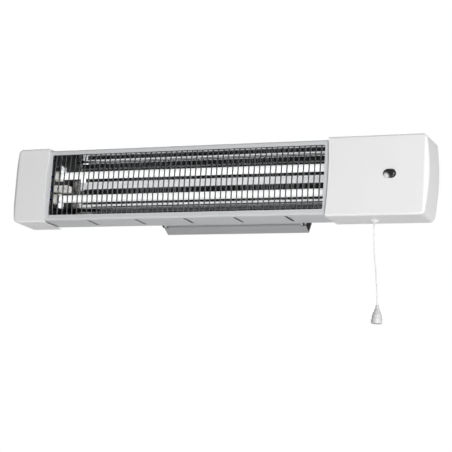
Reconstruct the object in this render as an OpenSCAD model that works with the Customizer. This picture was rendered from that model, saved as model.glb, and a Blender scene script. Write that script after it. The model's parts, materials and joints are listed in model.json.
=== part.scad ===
// Wall-hung quartz heater with two tubes, a wire guard, a tilting bracket and a pull-cord switch.
// Heater measures run from the left end cap's lower front corner: x to the right, y to the wall, z up.
// The placed model has its origin at the middle of the wall plate's back face.

/* [Casing] */
// Length over both end caps, from corner to corner
total_w = 600; // [540:1:760]
// Height of the end caps
cap_h = 107; // [98:1:130]
// Depth of the end caps
cap_d = 53; // [50:1:70]
// Length of the plain left cap
left_cap_w = 49; // [42:1:70]
// Length of the right cap, which houses the switch
right_cap_w = 133; // [122:1:160]
// Outward bow of the caps' ends
cap_bow = 4.5; // [1:0.5:6]
// Bow of the caps' edges over the casing
cap_edge_bow = 2.5; // [1:0.5:4]
// Wall of the moulded caps
cap_wall = 2.4; // [2:0.1:3.2]
// Rounding of the caps' outer corners
cap_round = 7; // [4:0.5:9]
// Rounding of the caps' long front edges
cap_edge_round = 3; // [1.5:0.5:4]
// Sheet of the steel casing
case_t = 1; // [0.8:0.1:1.5]
// Length of casing hidden inside each cap
case_tuck = 10; // [6:1:14]
// Width of the casing's front frame above and below the window
frame_lip = 7; // [5:0.5:10]
// Width of the front frame that shows beside each cap
frame_end = 4.5; // [3:0.5:12]
// Rear flanges of the casing, which the back plate is screwed to
back_flange = 5; // [4.5:0.5:5.5]
// Vent slots along the casing
vent_count = 5; // [3:1:6]
// Distance of the first vent slot from the left cap
vent_start = 66; // [20:1:70]
// Distance of the last vent slot from the right cap
vent_end = 57.6; // [20:0.1:70]
// Width of a vent slot
vent_w = 4.4; // [3:0.1:5]
// Length of a vent slot, front to back
vent_l = 35; // [20:1:38]

/* [Heating] */
// Outside diameter of a quartz tube
tube_d = 10.4; // [9:0.1:12]
// Wall of a quartz tube
tube_wall = 1.1; // [0.8:0.1:1.6]
// Distance between the two tubes
tube_pitch = 33.6; // [28:0.2:38]
// Depth of the tubes behind the caps' front
tube_y = 17; // [15:0.5:20]
// Outside diameter of the heating coil
coil_d = 6.2; // [5:0.1:7]
// Sheet of the reflector and its end plates
reflector_t = 0.8; // [0.6:0.1:1.2]
// Run of the reflector's floor that slopes back
reflector_slope = 16; // [8:1:22]
// Sheet of the end plates
end_plate_t = 1; // [0.8:0.1:1.5]
// Outside diameter of the ceramic bushes
bush_d = 15; // [14:0.5:17]
// Length of the ceramic bushes
bush_l = 9; // [7:0.5:11]
// Width of the tube brackets, front to back
tube_bracket_w = 14; // [12:0.5:16]
// Height of a tube bracket's foot from the tube's axis
tube_bracket_h = 13.4; // [12:0.2:14]
// Length of the ceramic block between the tubes
link_block_l = 22; // [17:1:26]

/* [Guard] */
// Diameter of the guard's wires
guard_wire_d = 1.8; // [1.4:0.1:2]
// Diameter of the guard's two rails
guard_rail_d = 2.6; // [2.2:0.1:2.8]
// Spacing of the guard's wires
guard_pitch = 7.8; // [7:0.1:12]
// Outward bow of the guard's wires
guard_bow = 2.5; // [1.5:0.5:3.5]

/* [Bracket] */
// Length of the wall bracket
bracket_l = 210; // [160:1:230]
// Distance of the bracket's middle from the heater's middle, towards the switch
bracket_shift = 15; // [0:1:20]
// Height of the bracket's wall plate
wall_plate_h = 66; // [60:1:76]
// Space from the casing's back to the wall
wall_gap = 32; // [30:1:40]
// Sheet of the bracket
bracket_t = 2; // [1.5:0.1:2.5]
// Spacing of the wall holes along the bracket
wall_hole_dx = 170; // [120:1:180]
// Spacing of the wall holes up the plate
wall_hole_dz = 40; // [30:1:46]
// Diameter of the wall holes
wall_hole_d = 5.5; // [4.5:0.1:6.5]
// Diameter of the pivot rod
rod_d = 4; // [3:0.1:4]
// Largest tilt of the heater
tilt_max = 20; // [10:1:20]
// Diameter of the tilt clamp screws
clamp_d = 4; // [3:0.1:4]

/* [Switch and cord] */
// Depth of the cord's exit behind the caps' front
cord_y = 30; // [28:0.5:32]
// Distance of the cord's exit from the right end
cord_inset = 74; // [68:1:80]
// Diameter of the pull cord
cord_d = 1.8; // [1.4:0.1:2.4]
// Travel of the pull cord
pull_travel = 7.2; // [7:0.05:7.3]
// Radius of the pin circle on the switch wheel
pin_circle_r = 9.4; // [9.2:0.1:9.6]
// Height of the cord's bell knob
knob_h = 24.5; // [20:0.5:32]
// Lower diameter of the bell knob
knob_d = 14.5; // [12:0.5:18]
// Length of the indicator's lens
lens_w = 17.5; // [14:0.5:20]
// Height of the indicator's lens
lens_h = 12; // [11:0.5:14]
// Distance of the indicator from the right end
lens_inset = 47; // [40:1:56]
// Diameter of the cable entry's bore
cable_bore_d = 8.5; // [6:0.5:10]

/* [Hidden] */
eps = 0.02;
fit_gap = 0.3;
run_gap = 0.05;
round_fn = 48;
white = [0.93, 0.93, 0.93];
steel_grey = [0.78, 0.79, 0.8];
bright = [0.86, 0.87, 0.88];
ceramic_white = [0.95, 0.94, 0.9];

// Casing, set inside the caps by the caps' wall and a gap
case_gap = 0.4;
case_z0 = cap_wall + case_gap;
case_z1 = cap_h - cap_wall - case_gap;
case_y0 = cap_wall + 0.6;
case_y1 = cap_d - 1;
case_x0 = left_cap_w - case_tuck;
case_x1 = total_w - right_cap_w + case_tuck;
window_x0 = left_cap_w + frame_end;
window_x1 = total_w - right_cap_w - frame_end;
window_z0 = case_z0 + frame_lip + 0.6;
window_z1 = case_z1 - frame_lip;
back_inner_y = case_y1 - case_t;
case_round = 3;
back_margin = cap_wall + case_gap;
back_round = cap_round - cap_wall - 0.2;
vent_y0 = 8;
vent_pitch = (total_w - left_cap_w - right_cap_w - vent_start - vent_end) / (vent_count - 1);
mid_x = (window_x0 + window_x1) / 2;
boss_d = 8;
boss_inset = 14;
boss_z = 12;
screw_d = 2.4;
screw_hole_d = 3;
core_hole_d = screw_d + 2 * run_gap;

// Tubes and the reflector round them
mid_z = (window_z0 + window_z1) / 2 - 1;
tube_zs = [mid_z - tube_pitch / 2, mid_z + tube_pitch / 2];
plate_left_x = window_x0 + 0.4;
plate_right_x = window_x1 - 0.4;
foot_w = 11;
foot_l = (case_z1 - case_z0) / 2 - 18;
foot_z = 6;
foot_screw_inset = 6;
reflector_back_y = back_inner_y - 4;
reflector_front_y = 10.2;
reflector_x0 = plate_left_x + end_plate_t;
reflector_x1 = plate_right_x;
bracket_leg_t = 1;
bush_socket = 5.4;
tube_x0 = plate_left_x + end_plate_t + bush_l - bush_socket;
tube_x1 = plate_right_x + end_plate_t + bush_socket;
ferrule_l = 2;
pin_l = 8;
pin_d = 2.4;
coil_cold_end = 8;
link_block_size = [link_block_l, 12, 9];
link_z = mid_z - 2.4;
link_hole_d = 5.4;
neutral_y = back_inner_y - 1.6;

// Guard: wires just behind the frame's lips, welded to the front of the two rails
guard_end_y = case_y0 + case_t + fit_gap + guard_wire_d / 2;
guard_rail_y = guard_end_y + (guard_wire_d + guard_rail_d) / 2 + 2 * eps;
guard_hide = 1.7;
guard_z0 = window_z0 - guard_hide;
guard_z1 = window_z1 + guard_hide;
guard_chord = guard_z1 - guard_z0;
guard_r = (guard_chord * guard_chord / 4 + guard_bow * guard_bow) / (2 * guard_bow);
guard_end_over = 1.4;
guard_half_angle = asin((guard_chord / 2 + guard_end_over) / guard_r);
guard_count = floor((window_x1 - window_x0 - 4) / guard_pitch) + 1;
guard_x0 = mid_x - (guard_count - 1) * guard_pitch / 2;
guard_rail_over = 3;
clip_t = 0.9;

// Tilting bracket
bracket_x = total_w / 2 + bracket_shift;
wall_y = case_y1 + wall_gap;
pivot = [case_y1 + 4, case_z0 + 1.7];
mount_z = pivot[1] + 4.5 + wall_plate_h / 2;
wall_plate_z0 = mount_z - wall_plate_h / 2;
bracket_x0 = bracket_x - bracket_l / 2;
bracket_x1 = bracket_x + bracket_l / 2;
apron_front = pivot + [3.4, -4.6];
apron_low = [wall_y - 10, pivot[1] - 11.8];
apron_lip_top = [apron_front[0], pivot[1] + 1.4];
clamp_point = pivot + [10, 19.5];
clamp_arm = norm(clamp_point - pivot);
clamp_angle = atan2(clamp_point[1] - pivot[1], clamp_point[0] - pivot[0]);
cheek_front_y = case_y1 + 0.6;
cheek_top = clamp_point[1] + 12;
cheek_flange = 9;
cheek_gap = 0.1;
lug_t = 2;
lug_flange = 16;
lug_eye_d = rod_d + 3.6;
lug_foot_t = 1.6;
lug_foot_z = pivot[1] + 2;
lug_foot_h = 26;
rivet_d = 3.2;
rivet_inset = 6;
rivet_head_d = 6;
rivet_head_t = 1;

// Switch, cord and lamp
cord_x = total_w - cord_inset;
wheel_x = cord_x - 12.6;
wheel_z = 42;
wheel_t = 3;
wheel_pins = 8;
wheel_pin_d = 2.4;
wheel_y = cord_y + 1.4;
step_angle = 360 / wheel_pins;
first_pin = step_angle / 2;
housing_x0 = wheel_x - pin_circle_r - 4.6;
housing_x1 = cord_x + 7.4;
housing_y0 = cord_y - 10;
housing_y1 = cord_y + 12;
housing_z0 = cap_wall + 4;
housing_z1 = wheel_z + pin_circle_r + 4.6;
housing_t = 2;
stem_w = 2.8;
rod_plunger_d = 3.2;
plunger_low = 4;
spring_solid = 13.4;
collar_z = housing_z0 + housing_t + spring_solid + pull_travel;
collar_d = 9;
collar_t = 2.4;
finger_z = wheel_z + pin_circle_r * sin(first_pin) + wheel_pin_d / 2 + fit_gap;
spring_d = 7.4;
spring_wire = 0.9;
spring_turns = 7;
bush_bore = 4.4;
bush_outer = 9;
bush_mouth = -4;
bush_flange_d = 13;
lens_x = total_w - lens_inset;
lens_z = cap_h / 2 + 1;
lens_rim = 2;
lens_rise = 3.2;
lens_flange_t = 1.2;
holder_l = 14;
lamp_d = 6.2;
shaft_d = 4;

// Mains side of the switch cap
block_size = [32, 15, 16];
block_x = total_w - 34;
block_y0 = back_inner_y - block_size[1];
block_z = cap_h - 27;
entry_x = total_w - 26;
entry_z = 24;
clamp_z = entry_z + 16;
grommet_d = 16;
earth_x = total_w - 58;
earth_z = cap_h - 23;
earth_stud_d = 4;
lead_d = 2.2;
lamp_lead_d = 1.2;

// Route of the pull cord, x and z from the plunger, chosen by eye for a light cord with some set
CORD_ROUTE = [[0, 3], [0, -6], [0, -14], [0.6, -24], [1, -34], [1.6, -44], [2.8, -54], [4.2, -64],
    [5.4, -74], [6.4, -84], [7.4, -94], [8.2, -104], [9, -116], [9.2, -122], [9.2, -134]];
knob_top = CORD_ROUTE[12];
knob_x = cord_x + knob_top[0];
knob_z1 = plunger_low + knob_top[1];

// Small helpers for outlines, sheets and swept tubes
function unit(v) = v / norm(v);
function turn_left(v) = [-v[1], v[0]];
function arc_pts(c, r, a0, a1, n) = [for (i = [0:n]) c + r * [cos(a0 + (a1 - a0) * i / n),
    sin(a0 + (a1 - a0) * i / n)]];
function corner(c, r, a, n) = r <= 0 ? [c] : arc_pts(c, r, a, a + 90, n);
// Rectangle with one rounding a corner, in the order lower left, lower right, upper right, upper left
function round_rect(p, q, r, n = 6) = concat(
    corner([p[0] + r[0], p[1] + r[0]], r[0], 180, n), corner([q[0] - r[1], p[1] + r[1]], r[1], 270, n),
    corner([q[0] - r[2], q[1] - r[2]], r[2], 0, n), corner([p[0] + r[3], q[1] - r[3]], r[3], 90, n));
function side_normals(p) = [for (i = [0:len(p) - 2]) unit(turn_left(p[i + 1] - p[i]))];
function beside(p, t) = let (n = side_normals(p), last = len(p) - 1) [for (i = [0:last])
    i == 0 ? p[0] + t * n[0] : i == last ? p[i] + t * n[i - 1]
    : p[i] + t * (n[i - 1] + n[i]) / (1 + n[i - 1] * n[i])];
function reversed(p) = [for (i = [len(p) - 1:-1:0]) p[i]];
// A bend of a sheet: the corner p between a and b, rounded by a curve that starts and ends d from it
function bend(a, p, b, d, n = 5) = let (s = p + d * unit(a - p), e = p + d * unit(b - p))
    [for (i = [0:n]) let (t = i / n) (1 - t) * (1 - t) * s + 2 * t * (1 - t) * p + t * t * e];
function spline_at(a, b, c, d, t) = 0.5 * ((2 * b) + (c - a) * t + (2 * a - 5 * b + 4 * c - d) * t * t
    + (3 * b - a - 3 * c + d) * t * t * t);
function smooth(p, n) = let (last = len(p) - 1) concat([for (i = [0:last - 1], k = [0:n - 1])
    spline_at(p[max(i - 1, 0)], p[i], p[i + 1], p[min(i + 2, last)], k / n)], [p[last]]);

// Profiles: along_x takes (y, z), along_y takes (x, z), along_z takes (x, y)
module along_x(a, b) { translate([a, 0, 0]) rotate([90, 0, 90]) linear_extrude(b - a) children(); }
module along_y(a, b) { translate([0, b, 0]) rotate([90, 0, 0]) linear_extrude(b - a) children(); }
module along_z(a, b) { translate([0, 0, a]) linear_extrude(b - a) children(); }
module rod_x(a, b, y, z, d) { translate([a, y, z]) rotate([0, 90, 0]) cylinder(h = b - a, d = d, $fn = round_fn); }
module rod_y(a, b, x, z, d) { translate([x, a, z]) rotate([-90, 0, 0]) cylinder(h = b - a, d = d, $fn = round_fn); }
module rod_z(a, b, x, y, d) { translate([x, y, a]) cylinder(h = b - a, d = d, $fn = round_fn); }
module sheet_profile(p, t) { polygon(concat(p, reversed(beside(p, t)))); }
// Moves a heater piece to the origin on the wall plate
module placed() { translate([-bracket_x, -wall_y, -mount_z]) children(); }

// A tube of round section along points, closed at both ends
module sweep(p, d, sides = 8, side_way = [0.31, 0.87, 0.39]) {
    last = len(p) - 1;
    pts = [for (i = [0:last]) let (t = unit(p[min(i + 1, last)] - p[max(i - 1, 0)]),
        a = unit(cross(t, side_way)), b = cross(t, a))
        for (k = [0:sides - 1]) p[i] + d / 2 * (cos(360 * k / sides) * a + sin(360 * k / sides) * b)];
    walls = [for (i = [0:last - 1], k = [0:sides - 1]) let (a = i * sides + k,
        b = i * sides + (k + 1) % sides) each [[a, b, b + sides], [a, b + sides, a + sides]]];
    ends = concat([for (k = [1:sides - 2]) [0, k + 1, k]],
        [for (k = [1:sides - 2]) [last * sides, last * sides + k, last * sides + k + 1]]);
    polyhedron(points = pts, faces = [for (f = concat(walls, ends)) reversed(f)]);
}
// A sleeved lead: straight at both ends, so that it meets its terminals squarely
module lead(p, d) {
    last = len(p) - 1;
    sweep(concat([p[0]], smooth([for (i = [1:last - 1]) p[i]], 3), [p[last]]), d);
}

// Head and shank of a screw along y, its head towards the wall
module back_screw(x, z, y_head, l, d) {
    rod_y(y_head - l, y_head + eps, x, z, d);
    rod_y(y_head, y_head + 1.6, x, z, d * 1.9);
}

// Front outline of a cap whose end bows out to the left: the bowed end with its two rounded corners,
// then the edge over the casing, which bows the same way by edge_bow
function bow_radius(chord, bow) = (chord * chord / 4 + bow * bow) / (2 * bow);
function cap_outline(x_end, x_edge, inset, edge_bow) = let (
    big_r = bow_radius(cap_h, cap_bow) - inset,
    r = max(cap_round - inset, 0.6),
    mid = cap_h / 2,
    up = mid - inset - r,
    centre = [x_end + inset + big_r, mid],
    lean = asin(up / (big_r - r)),
    corner_x = centre[0] - (big_r - r) * cos(lean),
    edge_r = edge_bow > 0 ? bow_radius(cap_h, edge_bow) : 0,
    edge_half = edge_bow > 0 ? asin(mid / edge_r) : 0)
    concat(arc_pts([corner_x, mid + up], r, 90, 180 - lean, 6),
        arc_pts(centre, big_r, 180 - lean * 0.8, 180 + lean * 0.8, 8),
        arc_pts([corner_x, mid - up], r, 180 + lean, 270, 6),
        edge_bow > 0 ? arc_pts([x_edge - edge_bow + edge_r, mid], edge_r, 180 + edge_half, 180 - edge_half, 10)
        : [[x_edge, inset], [x_edge, cap_h - inset]]);

// Solid block of a cap that ends at the left, cut to its three rounded outlines
module cap_block(w, inset) {
    x_end = -cap_bow;
    x_edge = inset > 0 ? w + 1 : w;
    front_r = max(cap_round - inset, 0.6);
    long_r = max(cap_edge_round - inset, 0.4);
    back = cap_d + (inset > 0 ? 1 : 0);
    intersection() {
        along_y(inset, back) polygon(cap_outline(x_end, x_edge, inset, inset > 0 ? 0 : cap_edge_bow));
        along_x(x_end, x_edge) polygon(round_rect([inset, inset], [back, cap_h - inset], [long_r, 0, 0, long_r]));
        along_z(inset, cap_h - inset)
            polygon(round_rect([x_end + inset, inset], [x_edge, back], [front_r, 0, 0, 0]));
    }
}
module cap_shell(w) {
    difference() {
        cap_block(w, 0);
        cap_block(w, cap_wall);
    }
}
module cap_boss(x, z) {
    difference() {
        rod_y(cap_wall - 0.4, back_inner_y, x, z, boss_d);
        rod_y(back_inner_y - 16, back_inner_y + 1, x, z, core_hole_d);
    }
}
boss_zs = [boss_z, cap_h - boss_z];
function left_boss_spots() = [for (z = boss_zs) [boss_inset, z]];
function right_boss_spots() = [for (x = [case_x1 + boss_d / 2 + 0.6, total_w - boss_inset], z = boss_zs) [x, z]];
function boss_spots() = concat(left_boss_spots(), right_boss_spots());

module left_cap() {
    color(white) placed() {
        cap_shell(left_cap_w);
        for (s = left_boss_spots()) cap_boss(s[0], s[1]);
    }
}

// Bar of round ends along x, standing across y
module obround(a, b, x, z, w, h) {
    translate([x - (w - h) / 2, a, z - h / 2]) cube([w - h, b - a, h]);
    for (s = [-1, 1]) rod_y(a, b, x + s * (w - h) / 2, z, h);
}

module right_cap() {
    color(white) placed() {
        difference() {
            translate([total_w, 0, 0]) mirror([1, 0, 0]) cap_shell(right_cap_w);
            obround(-1, cap_wall + 1, lens_x, lens_z, lens_w - 2 * lens_rim, lens_h - 2 * lens_rim);
            rod_z(-1, cap_wall + 1, cord_x, cord_y, bush_outer + 2 * run_gap);
        }
        for (s = right_boss_spots()) cap_boss(s[0], s[1]);
    }
}

module vent_slot(x, z0, z1) {
    translate([x - vent_w / 2, vent_y0 + vent_w / 2, z0]) cube([vent_w, vent_l - vent_w, z1 - z0]);
    for (y = [vent_y0 + vent_w / 2, vent_y0 + vent_l - vent_w / 2]) rod_z(z0, z1, x, y, vent_w);
}

// Roll-formed steel channel: front frame, vented floor and roof, and a flange behind each
flange_z0 = case_z0 + case_t + back_flange;
flange_z1 = case_z1 - case_t - back_flange;
function casing_inside() = round_rect([case_y0 + case_t, case_z0 + case_t], [back_inner_y - case_t, case_z1 - case_t],
    [case_round - case_t, 0, 0, case_round - case_t]);
module casing() {
    color(steel_grey) placed() difference() {
        along_x(case_x0, case_x1)
            polygon(round_rect([case_y0, case_z0], [back_inner_y, case_z1], [case_round, 0, 0, case_round]));
        along_x(case_x0 - 1, case_x1 + 1) polygon(casing_inside());
        translate([case_x0 - 1, back_inner_y - case_t - 1, flange_z0])
            cube([case_x1 - case_x0 + 2, case_t + 2, flange_z1 - flange_z0]);
        along_y(case_y0 - 1, case_y0 + case_t + 2)
            polygon(round_rect([window_x0, window_z0], [window_x1, window_z1], [2, 2, 2, 2]));
        for (i = [0:vent_count - 1]) {
            x = left_cap_w + vent_start + i * vent_pitch;
            vent_slot(x, case_z0 - 1, case_z0 + case_t + 1);
            vent_slot(x, case_z1 - case_t - 1, case_z1 + 1);
        }
        for (s = back_screw_spots()) rod_y(back_inner_y - case_t - 1, back_inner_y + 1, s[0], s[1], core_hole_d);
    }
}
function back_screw_spots() = [for (x = [window_x0 + 20, bracket_x0 - 16, bracket_x1 + 16],
    z = [flange_z0 - back_flange / 2, flange_z1 + back_flange / 2]) [x, z]];

// Flat steel sheet behind the casing and both caps, which carries everything else
module back_plate() {
    screws = concat(boss_spots(), plate_screw_spots(), clamp_screw_spots(), switch_screw_spots(),
        back_screw_spots());
    color(steel_grey) placed() difference() {
        along_y(back_inner_y, case_y1)
            polygon(round_rect([back_margin, case_z0], [total_w - back_margin, case_z1],
                [back_round, back_round, back_round, back_round]));
        for (s = screws) rod_y(back_inner_y - 1, case_y1 + 1, s[0], s[1], screw_hole_d);
        for (s = rivet_spots()) rod_y(back_inner_y - 1, case_y1 + 1, s[0], s[1], rivet_d);
        rod_y(back_inner_y - 1, case_y1 + 1, entry_x, entry_z, grommet_d - 4);
        rod_y(back_inner_y - 1, case_y1 + 1, earth_x, earth_z, earth_stud_d);
    }
}
module back_plate_screws() {
    color(bright) placed() for (s = back_screw_spots()) back_screw(s[0], s[1], case_y1, 4.4, screw_d);
}

// Inner face of the reflector, front top to front bottom
function reflector_line() = let (
    top_front = [reflector_front_y, window_z1 + 0.6],
    top_back = [reflector_back_y, window_z1 - 0.8],
    low_back = [reflector_back_y, window_z0 + reflector_slope],
    low_front = [reflector_front_y, window_z0 - 0.2])
    concat([low_front], bend(low_front, low_back, top_back, 5), bend(low_back, top_back, top_front, 4),
    [top_front]);

module reflector() {
    color(bright) placed() along_x(reflector_x0, reflector_x1) sheet_profile(reflector_line(), -reflector_t);
}

function plate_screw_spots() = [for (x = [plate_left_x - foot_screw_inset,
    plate_right_x + end_plate_t + foot_screw_inset], s = [-1, 1])
    [x, mid_z + s * (foot_z + foot_l - foot_screw_inset)]];

// One end plate: flat across the casing, with two feet along the back that turn away from the tubes
module end_plate(x, way) {
    foot_x = way < 0 ? x - foot_w : x + end_plate_t;
    front_y = case_y0 + case_t + 4;
    clear = 0.2;
    difference() {
        union() {
            along_x(x, x + end_plate_t) {
                polygon(round_rect([front_y, case_z0 + case_t + clear],
                    [back_inner_y - case_t - clear, case_z1 - case_t - clear], [2, 0, 0, 2]));
                polygon(round_rect([front_y + 4, flange_z0 + clear], [back_inner_y, flange_z1 - clear], [0, 0, 0, 0]));
            }
            for (z = [mid_z - foot_z - foot_l, mid_z + foot_z])
                translate([foot_x - eps, back_inner_y - end_plate_t, z])
                cube([foot_w + 2 * eps, end_plate_t, foot_l]);
        }
        for (z = tube_zs) rod_x(x - 1, x + end_plate_t + 1, tube_y, z, tube_d + 0.6);
        rod_x(x - 1, x + end_plate_t + 1, tube_y, link_z, link_hole_d);
        rod_x(x - 1, x + end_plate_t + 1, neutral_y, mid_z, lead_d + 0.8);
        for (s = plate_screw_spots()) rod_y(back_inner_y - 3, back_inner_y + 1, s[0], s[1], core_hole_d);
    }
}
module end_plate_left() { color(steel_grey) placed() end_plate(plate_left_x, -1); }
module end_plate_right() { color(steel_grey) placed() end_plate(plate_right_x, 1); }
module end_plate_screws() {
    color(bright) placed() for (s = plate_screw_spots()) back_screw(s[0], s[1], case_y1, 4.4, screw_d);
}

// One bowed wire: an arc in the y-z plane whose ends cross the front of the rails
module guard_wire(x) {
    translate([x, guard_end_y - guard_bow + guard_r, (guard_z0 + guard_z1) / 2])
        rotate([90, 0, 90]) rotate([0, 0, 180 - guard_half_angle])
        rotate_extrude(angle = 2 * guard_half_angle, $fn = 96)
        translate([guard_r, 0]) circle(d = guard_wire_d, $fn = 24);
}
module wire_guard() {
    color(bright) placed() for (i = [0:guard_count - 1]) guard_wire(guard_x0 + i * guard_pitch);
}
module guard_rails() {
    color(bright) placed() for (z = [guard_z0, guard_z1])
        rod_x(guard_x0 - guard_rail_over, guard_x0 + (guard_count - 1) * guard_pitch + guard_rail_over,
            guard_rail_y, z, guard_rail_d);
}

// Clips that hold the guard's rails behind the front frame, each between two wires
module guard_clips() {
    clip_w = guard_pitch - guard_wire_d - 1;
    y0 = case_y0 + case_t;
    r = guard_rail_d / 2 + run_gap;
    color(steel_grey) placed() for (i = [2, floor(guard_count / 2), guard_count - 4], top = [0, 1]) {
        z = top > 0 ? guard_z1 : guard_z0;
        x = guard_x0 + (i + 0.5) * guard_pitch - clip_w / 2;
        intersection() {
            difference() {
                translate([x, y0, top > 0 ? z - r : z - r - clip_t])
                    cube([clip_w, guard_rail_y + r + clip_t - y0, 2 * r + clip_t]);
                rod_x(x - 1, x + clip_w + 1, guard_rail_y, z, 2 * r);
                translate([x - 1, guard_rail_y - r, top > 0 ? z - r - 1 : z]) cube([clip_w + 2, 2 * r, r + 1]);
            }
            along_x(x - 1, x + clip_w + 1) polygon(casing_inside());
        }
    }
}

module quartz_tube(z) {
    difference() {
        rod_x(tube_x0, tube_x1, tube_y, z, tube_d);
        rod_x(tube_x0 - 1, tube_x1 + 1, tube_y, z, tube_d - 2 * tube_wall);
    }
}
module upper_quartz_tube() { color([0.97, 0.97, 0.95]) placed() quartz_tube(tube_zs[1]); }
module lower_quartz_tube() { color([0.97, 0.97, 0.95]) placed() quartz_tube(tube_zs[0]); }

// The wound wire as one sleeve of the coil's outer shape, with its two straight cold ends
module heating_coil(z) {
    a = tube_x0 + coil_cold_end;
    b = tube_x1 - coil_cold_end;
    difference() {
        rod_x(a, b, tube_y, z, coil_d);
        rod_x(a + 2, b - 2, tube_y, z, coil_d - 1.6);
    }
    rod_x(tube_x0, a + 1, tube_y, z, 1.4);
    rod_x(b - 1, tube_x1, tube_y, z, 1.4);
}
module upper_heating_coil() { color([0.55, 0.5, 0.45]) placed() heating_coil(tube_zs[1]); }
module lower_heating_coil() { color([0.55, 0.5, 0.45]) placed() heating_coil(tube_zs[0]); }

module tube_ferrules() {
    color(bright) placed() for (z = tube_zs) {
        rod_x(tube_x0 - ferrule_l, tube_x0, tube_y, z, tube_d - 1);
        rod_x(tube_x0 - pin_l, tube_x0 - ferrule_l + 0.5, tube_y, z, pin_d);
        rod_x(tube_x1, tube_x1 + ferrule_l, tube_y, z, tube_d - 1);
        rod_x(tube_x1 + ferrule_l - 0.5, tube_x1 + pin_l, tube_y, z, pin_d);
    }
}

// Ceramic bush with a socket for the tube's end and a small hole for its pin
module ceramic_bush(x, z, socket_at) {
    difference() {
        rod_x(x, x + bush_l, tube_y, z, bush_d);
        rod_x(socket_at[0], socket_at[1], tube_y, z, tube_d + 4 * run_gap);
        rod_x(x - 1, x + bush_l + 1, tube_y, z, pin_d + 0.6);
    }
}
module ceramic_bushes() {
    socket = bush_socket + ferrule_l;
    left_x = plate_left_x + end_plate_t;
    right_x = plate_right_x + end_plate_t;
    color(ceramic_white) placed() for (z = tube_zs) {
        ceramic_bush(left_x, z, [left_x + bush_l - socket, left_x + bush_l + 1]);
        ceramic_bush(right_x, z, [right_x - 1, right_x + socket]);
    }
}

// Angle of steel strip: its foot stands on the end plate and its upright holds the tube
module tube_bracket(x, z, way) {
    base_z = z + way * tube_bracket_h;
    low = min(base_z, z - way * 4);
    high = max(base_z, z - way * 4);
    leg_x = x + bush_l + 0.1;
    difference() {
        union() {
            translate([x, tube_y - tube_bracket_w / 2, base_z - (way > 0 ? bracket_leg_t : 0)])
                cube([bush_l + 0.1 + bracket_leg_t, tube_bracket_w, bracket_leg_t]);
            translate([leg_x, tube_y - tube_bracket_w / 2, low]) cube([bracket_leg_t, tube_bracket_w, high - low]);
        }
        rod_x(leg_x - 1, leg_x + bracket_leg_t + 1, tube_y, z, tube_d + 0.6);
    }
}
module tube_brackets() {
    color(bright) placed() for (i = [0, 1]) {
        way = i > 0 ? 1 : -1;
        tube_bracket(plate_left_x + end_plate_t, tube_zs[i], way);
        difference() {
            tube_bracket(plate_right_x + end_plate_t, tube_zs[i], way);
            rod_x(plate_right_x, plate_right_x + end_plate_t + bush_l + 4, tube_y, tube_zs[i], pin_d + 0.6);
        }
    }
}

// Two-way ceramic block on the left end plate, where the two tubes' left ends are joined
module link_block() {
    x = plate_left_x + end_plate_t;
    y = tube_y - link_block_size[1] / 2;
    z = link_z - link_block_size[2] / 2;
    color(ceramic_white) placed() difference() {
        translate([x, y, z]) cube(link_block_size);
        rod_x(x - 1, x + 8, tube_y, link_z, link_hole_d);
        for (side = [0.25, 0.72]) rod_y(y - 1, y + 4, x + side * link_block_l, link_z, 4);
    }
}

module cap_screws() {
    color(bright) placed() for (s = boss_spots()) back_screw(s[0], s[1], case_y1, 14, screw_d);
}

// Folded sheet of the bracket: the wall plate and the sloping apron under it
function bracket_line() = let (
    top = [wall_y, mount_z + wall_plate_h / 2],
    low = [wall_y, wall_plate_z0])
    concat([top], bend(top, low, apron_low, 3), bend(low, apron_low, apron_front, 3));
// Outline of a cheek; its lower and back edges lie just inside the sheet
function cheek_line() = let (inside = beside(concat(bracket_line(), [apron_front]), -bracket_t - cheek_gap))
    concat([for (i = [len(inside) - 1:-1:1]) inside[i]], [[wall_y - bracket_t - cheek_gap, cheek_top],
    [wall_y - 12, cheek_top], [cheek_front_y + 3, clamp_point[1] + 9], [cheek_front_y, clamp_point[1] + 6],
    [cheek_front_y, pivot[1]], [cheek_front_y + 1, pivot[1] - 3], [cheek_front_y + 2.4, pivot[1] - 4.5]]);
function wall_holes() = [for (sx = [-1, 1], sz = [-1, 1])
    [bracket_x + sx * wall_hole_dx / 2, mount_z + sz * wall_hole_dz / 2]];

// Arc slot for a clamp screw, rounded at both ends
function slot_end(a) = pivot + clamp_arm * [cos(a), sin(a)];
module clamp_slot(x0, x1) {
    half = clamp_d / 2 + 0.2;
    a0 = clamp_angle;
    a1 = clamp_angle + tilt_max;
    along_x(x0, x1) polygon(concat(arc_pts(pivot, clamp_arm + half, a0, a1, 5),
        arc_pts(slot_end(a1), half, a1 + 20, a1 + 160, 5), arc_pts(pivot, clamp_arm - half, a1, a0, 5),
        arc_pts(slot_end(a0), half, a0 + 200, a0 + 340, 5)));
}
function cheek_rivet_spots() = let (inset = (bracket_t + cheek_flange) / 2)
    [for (x = [bracket_x0 + inset, bracket_x1 - inset],
    z = [wall_plate_z0 + rivet_inset, cheek_top - rivet_inset]) [x, z]];

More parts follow.
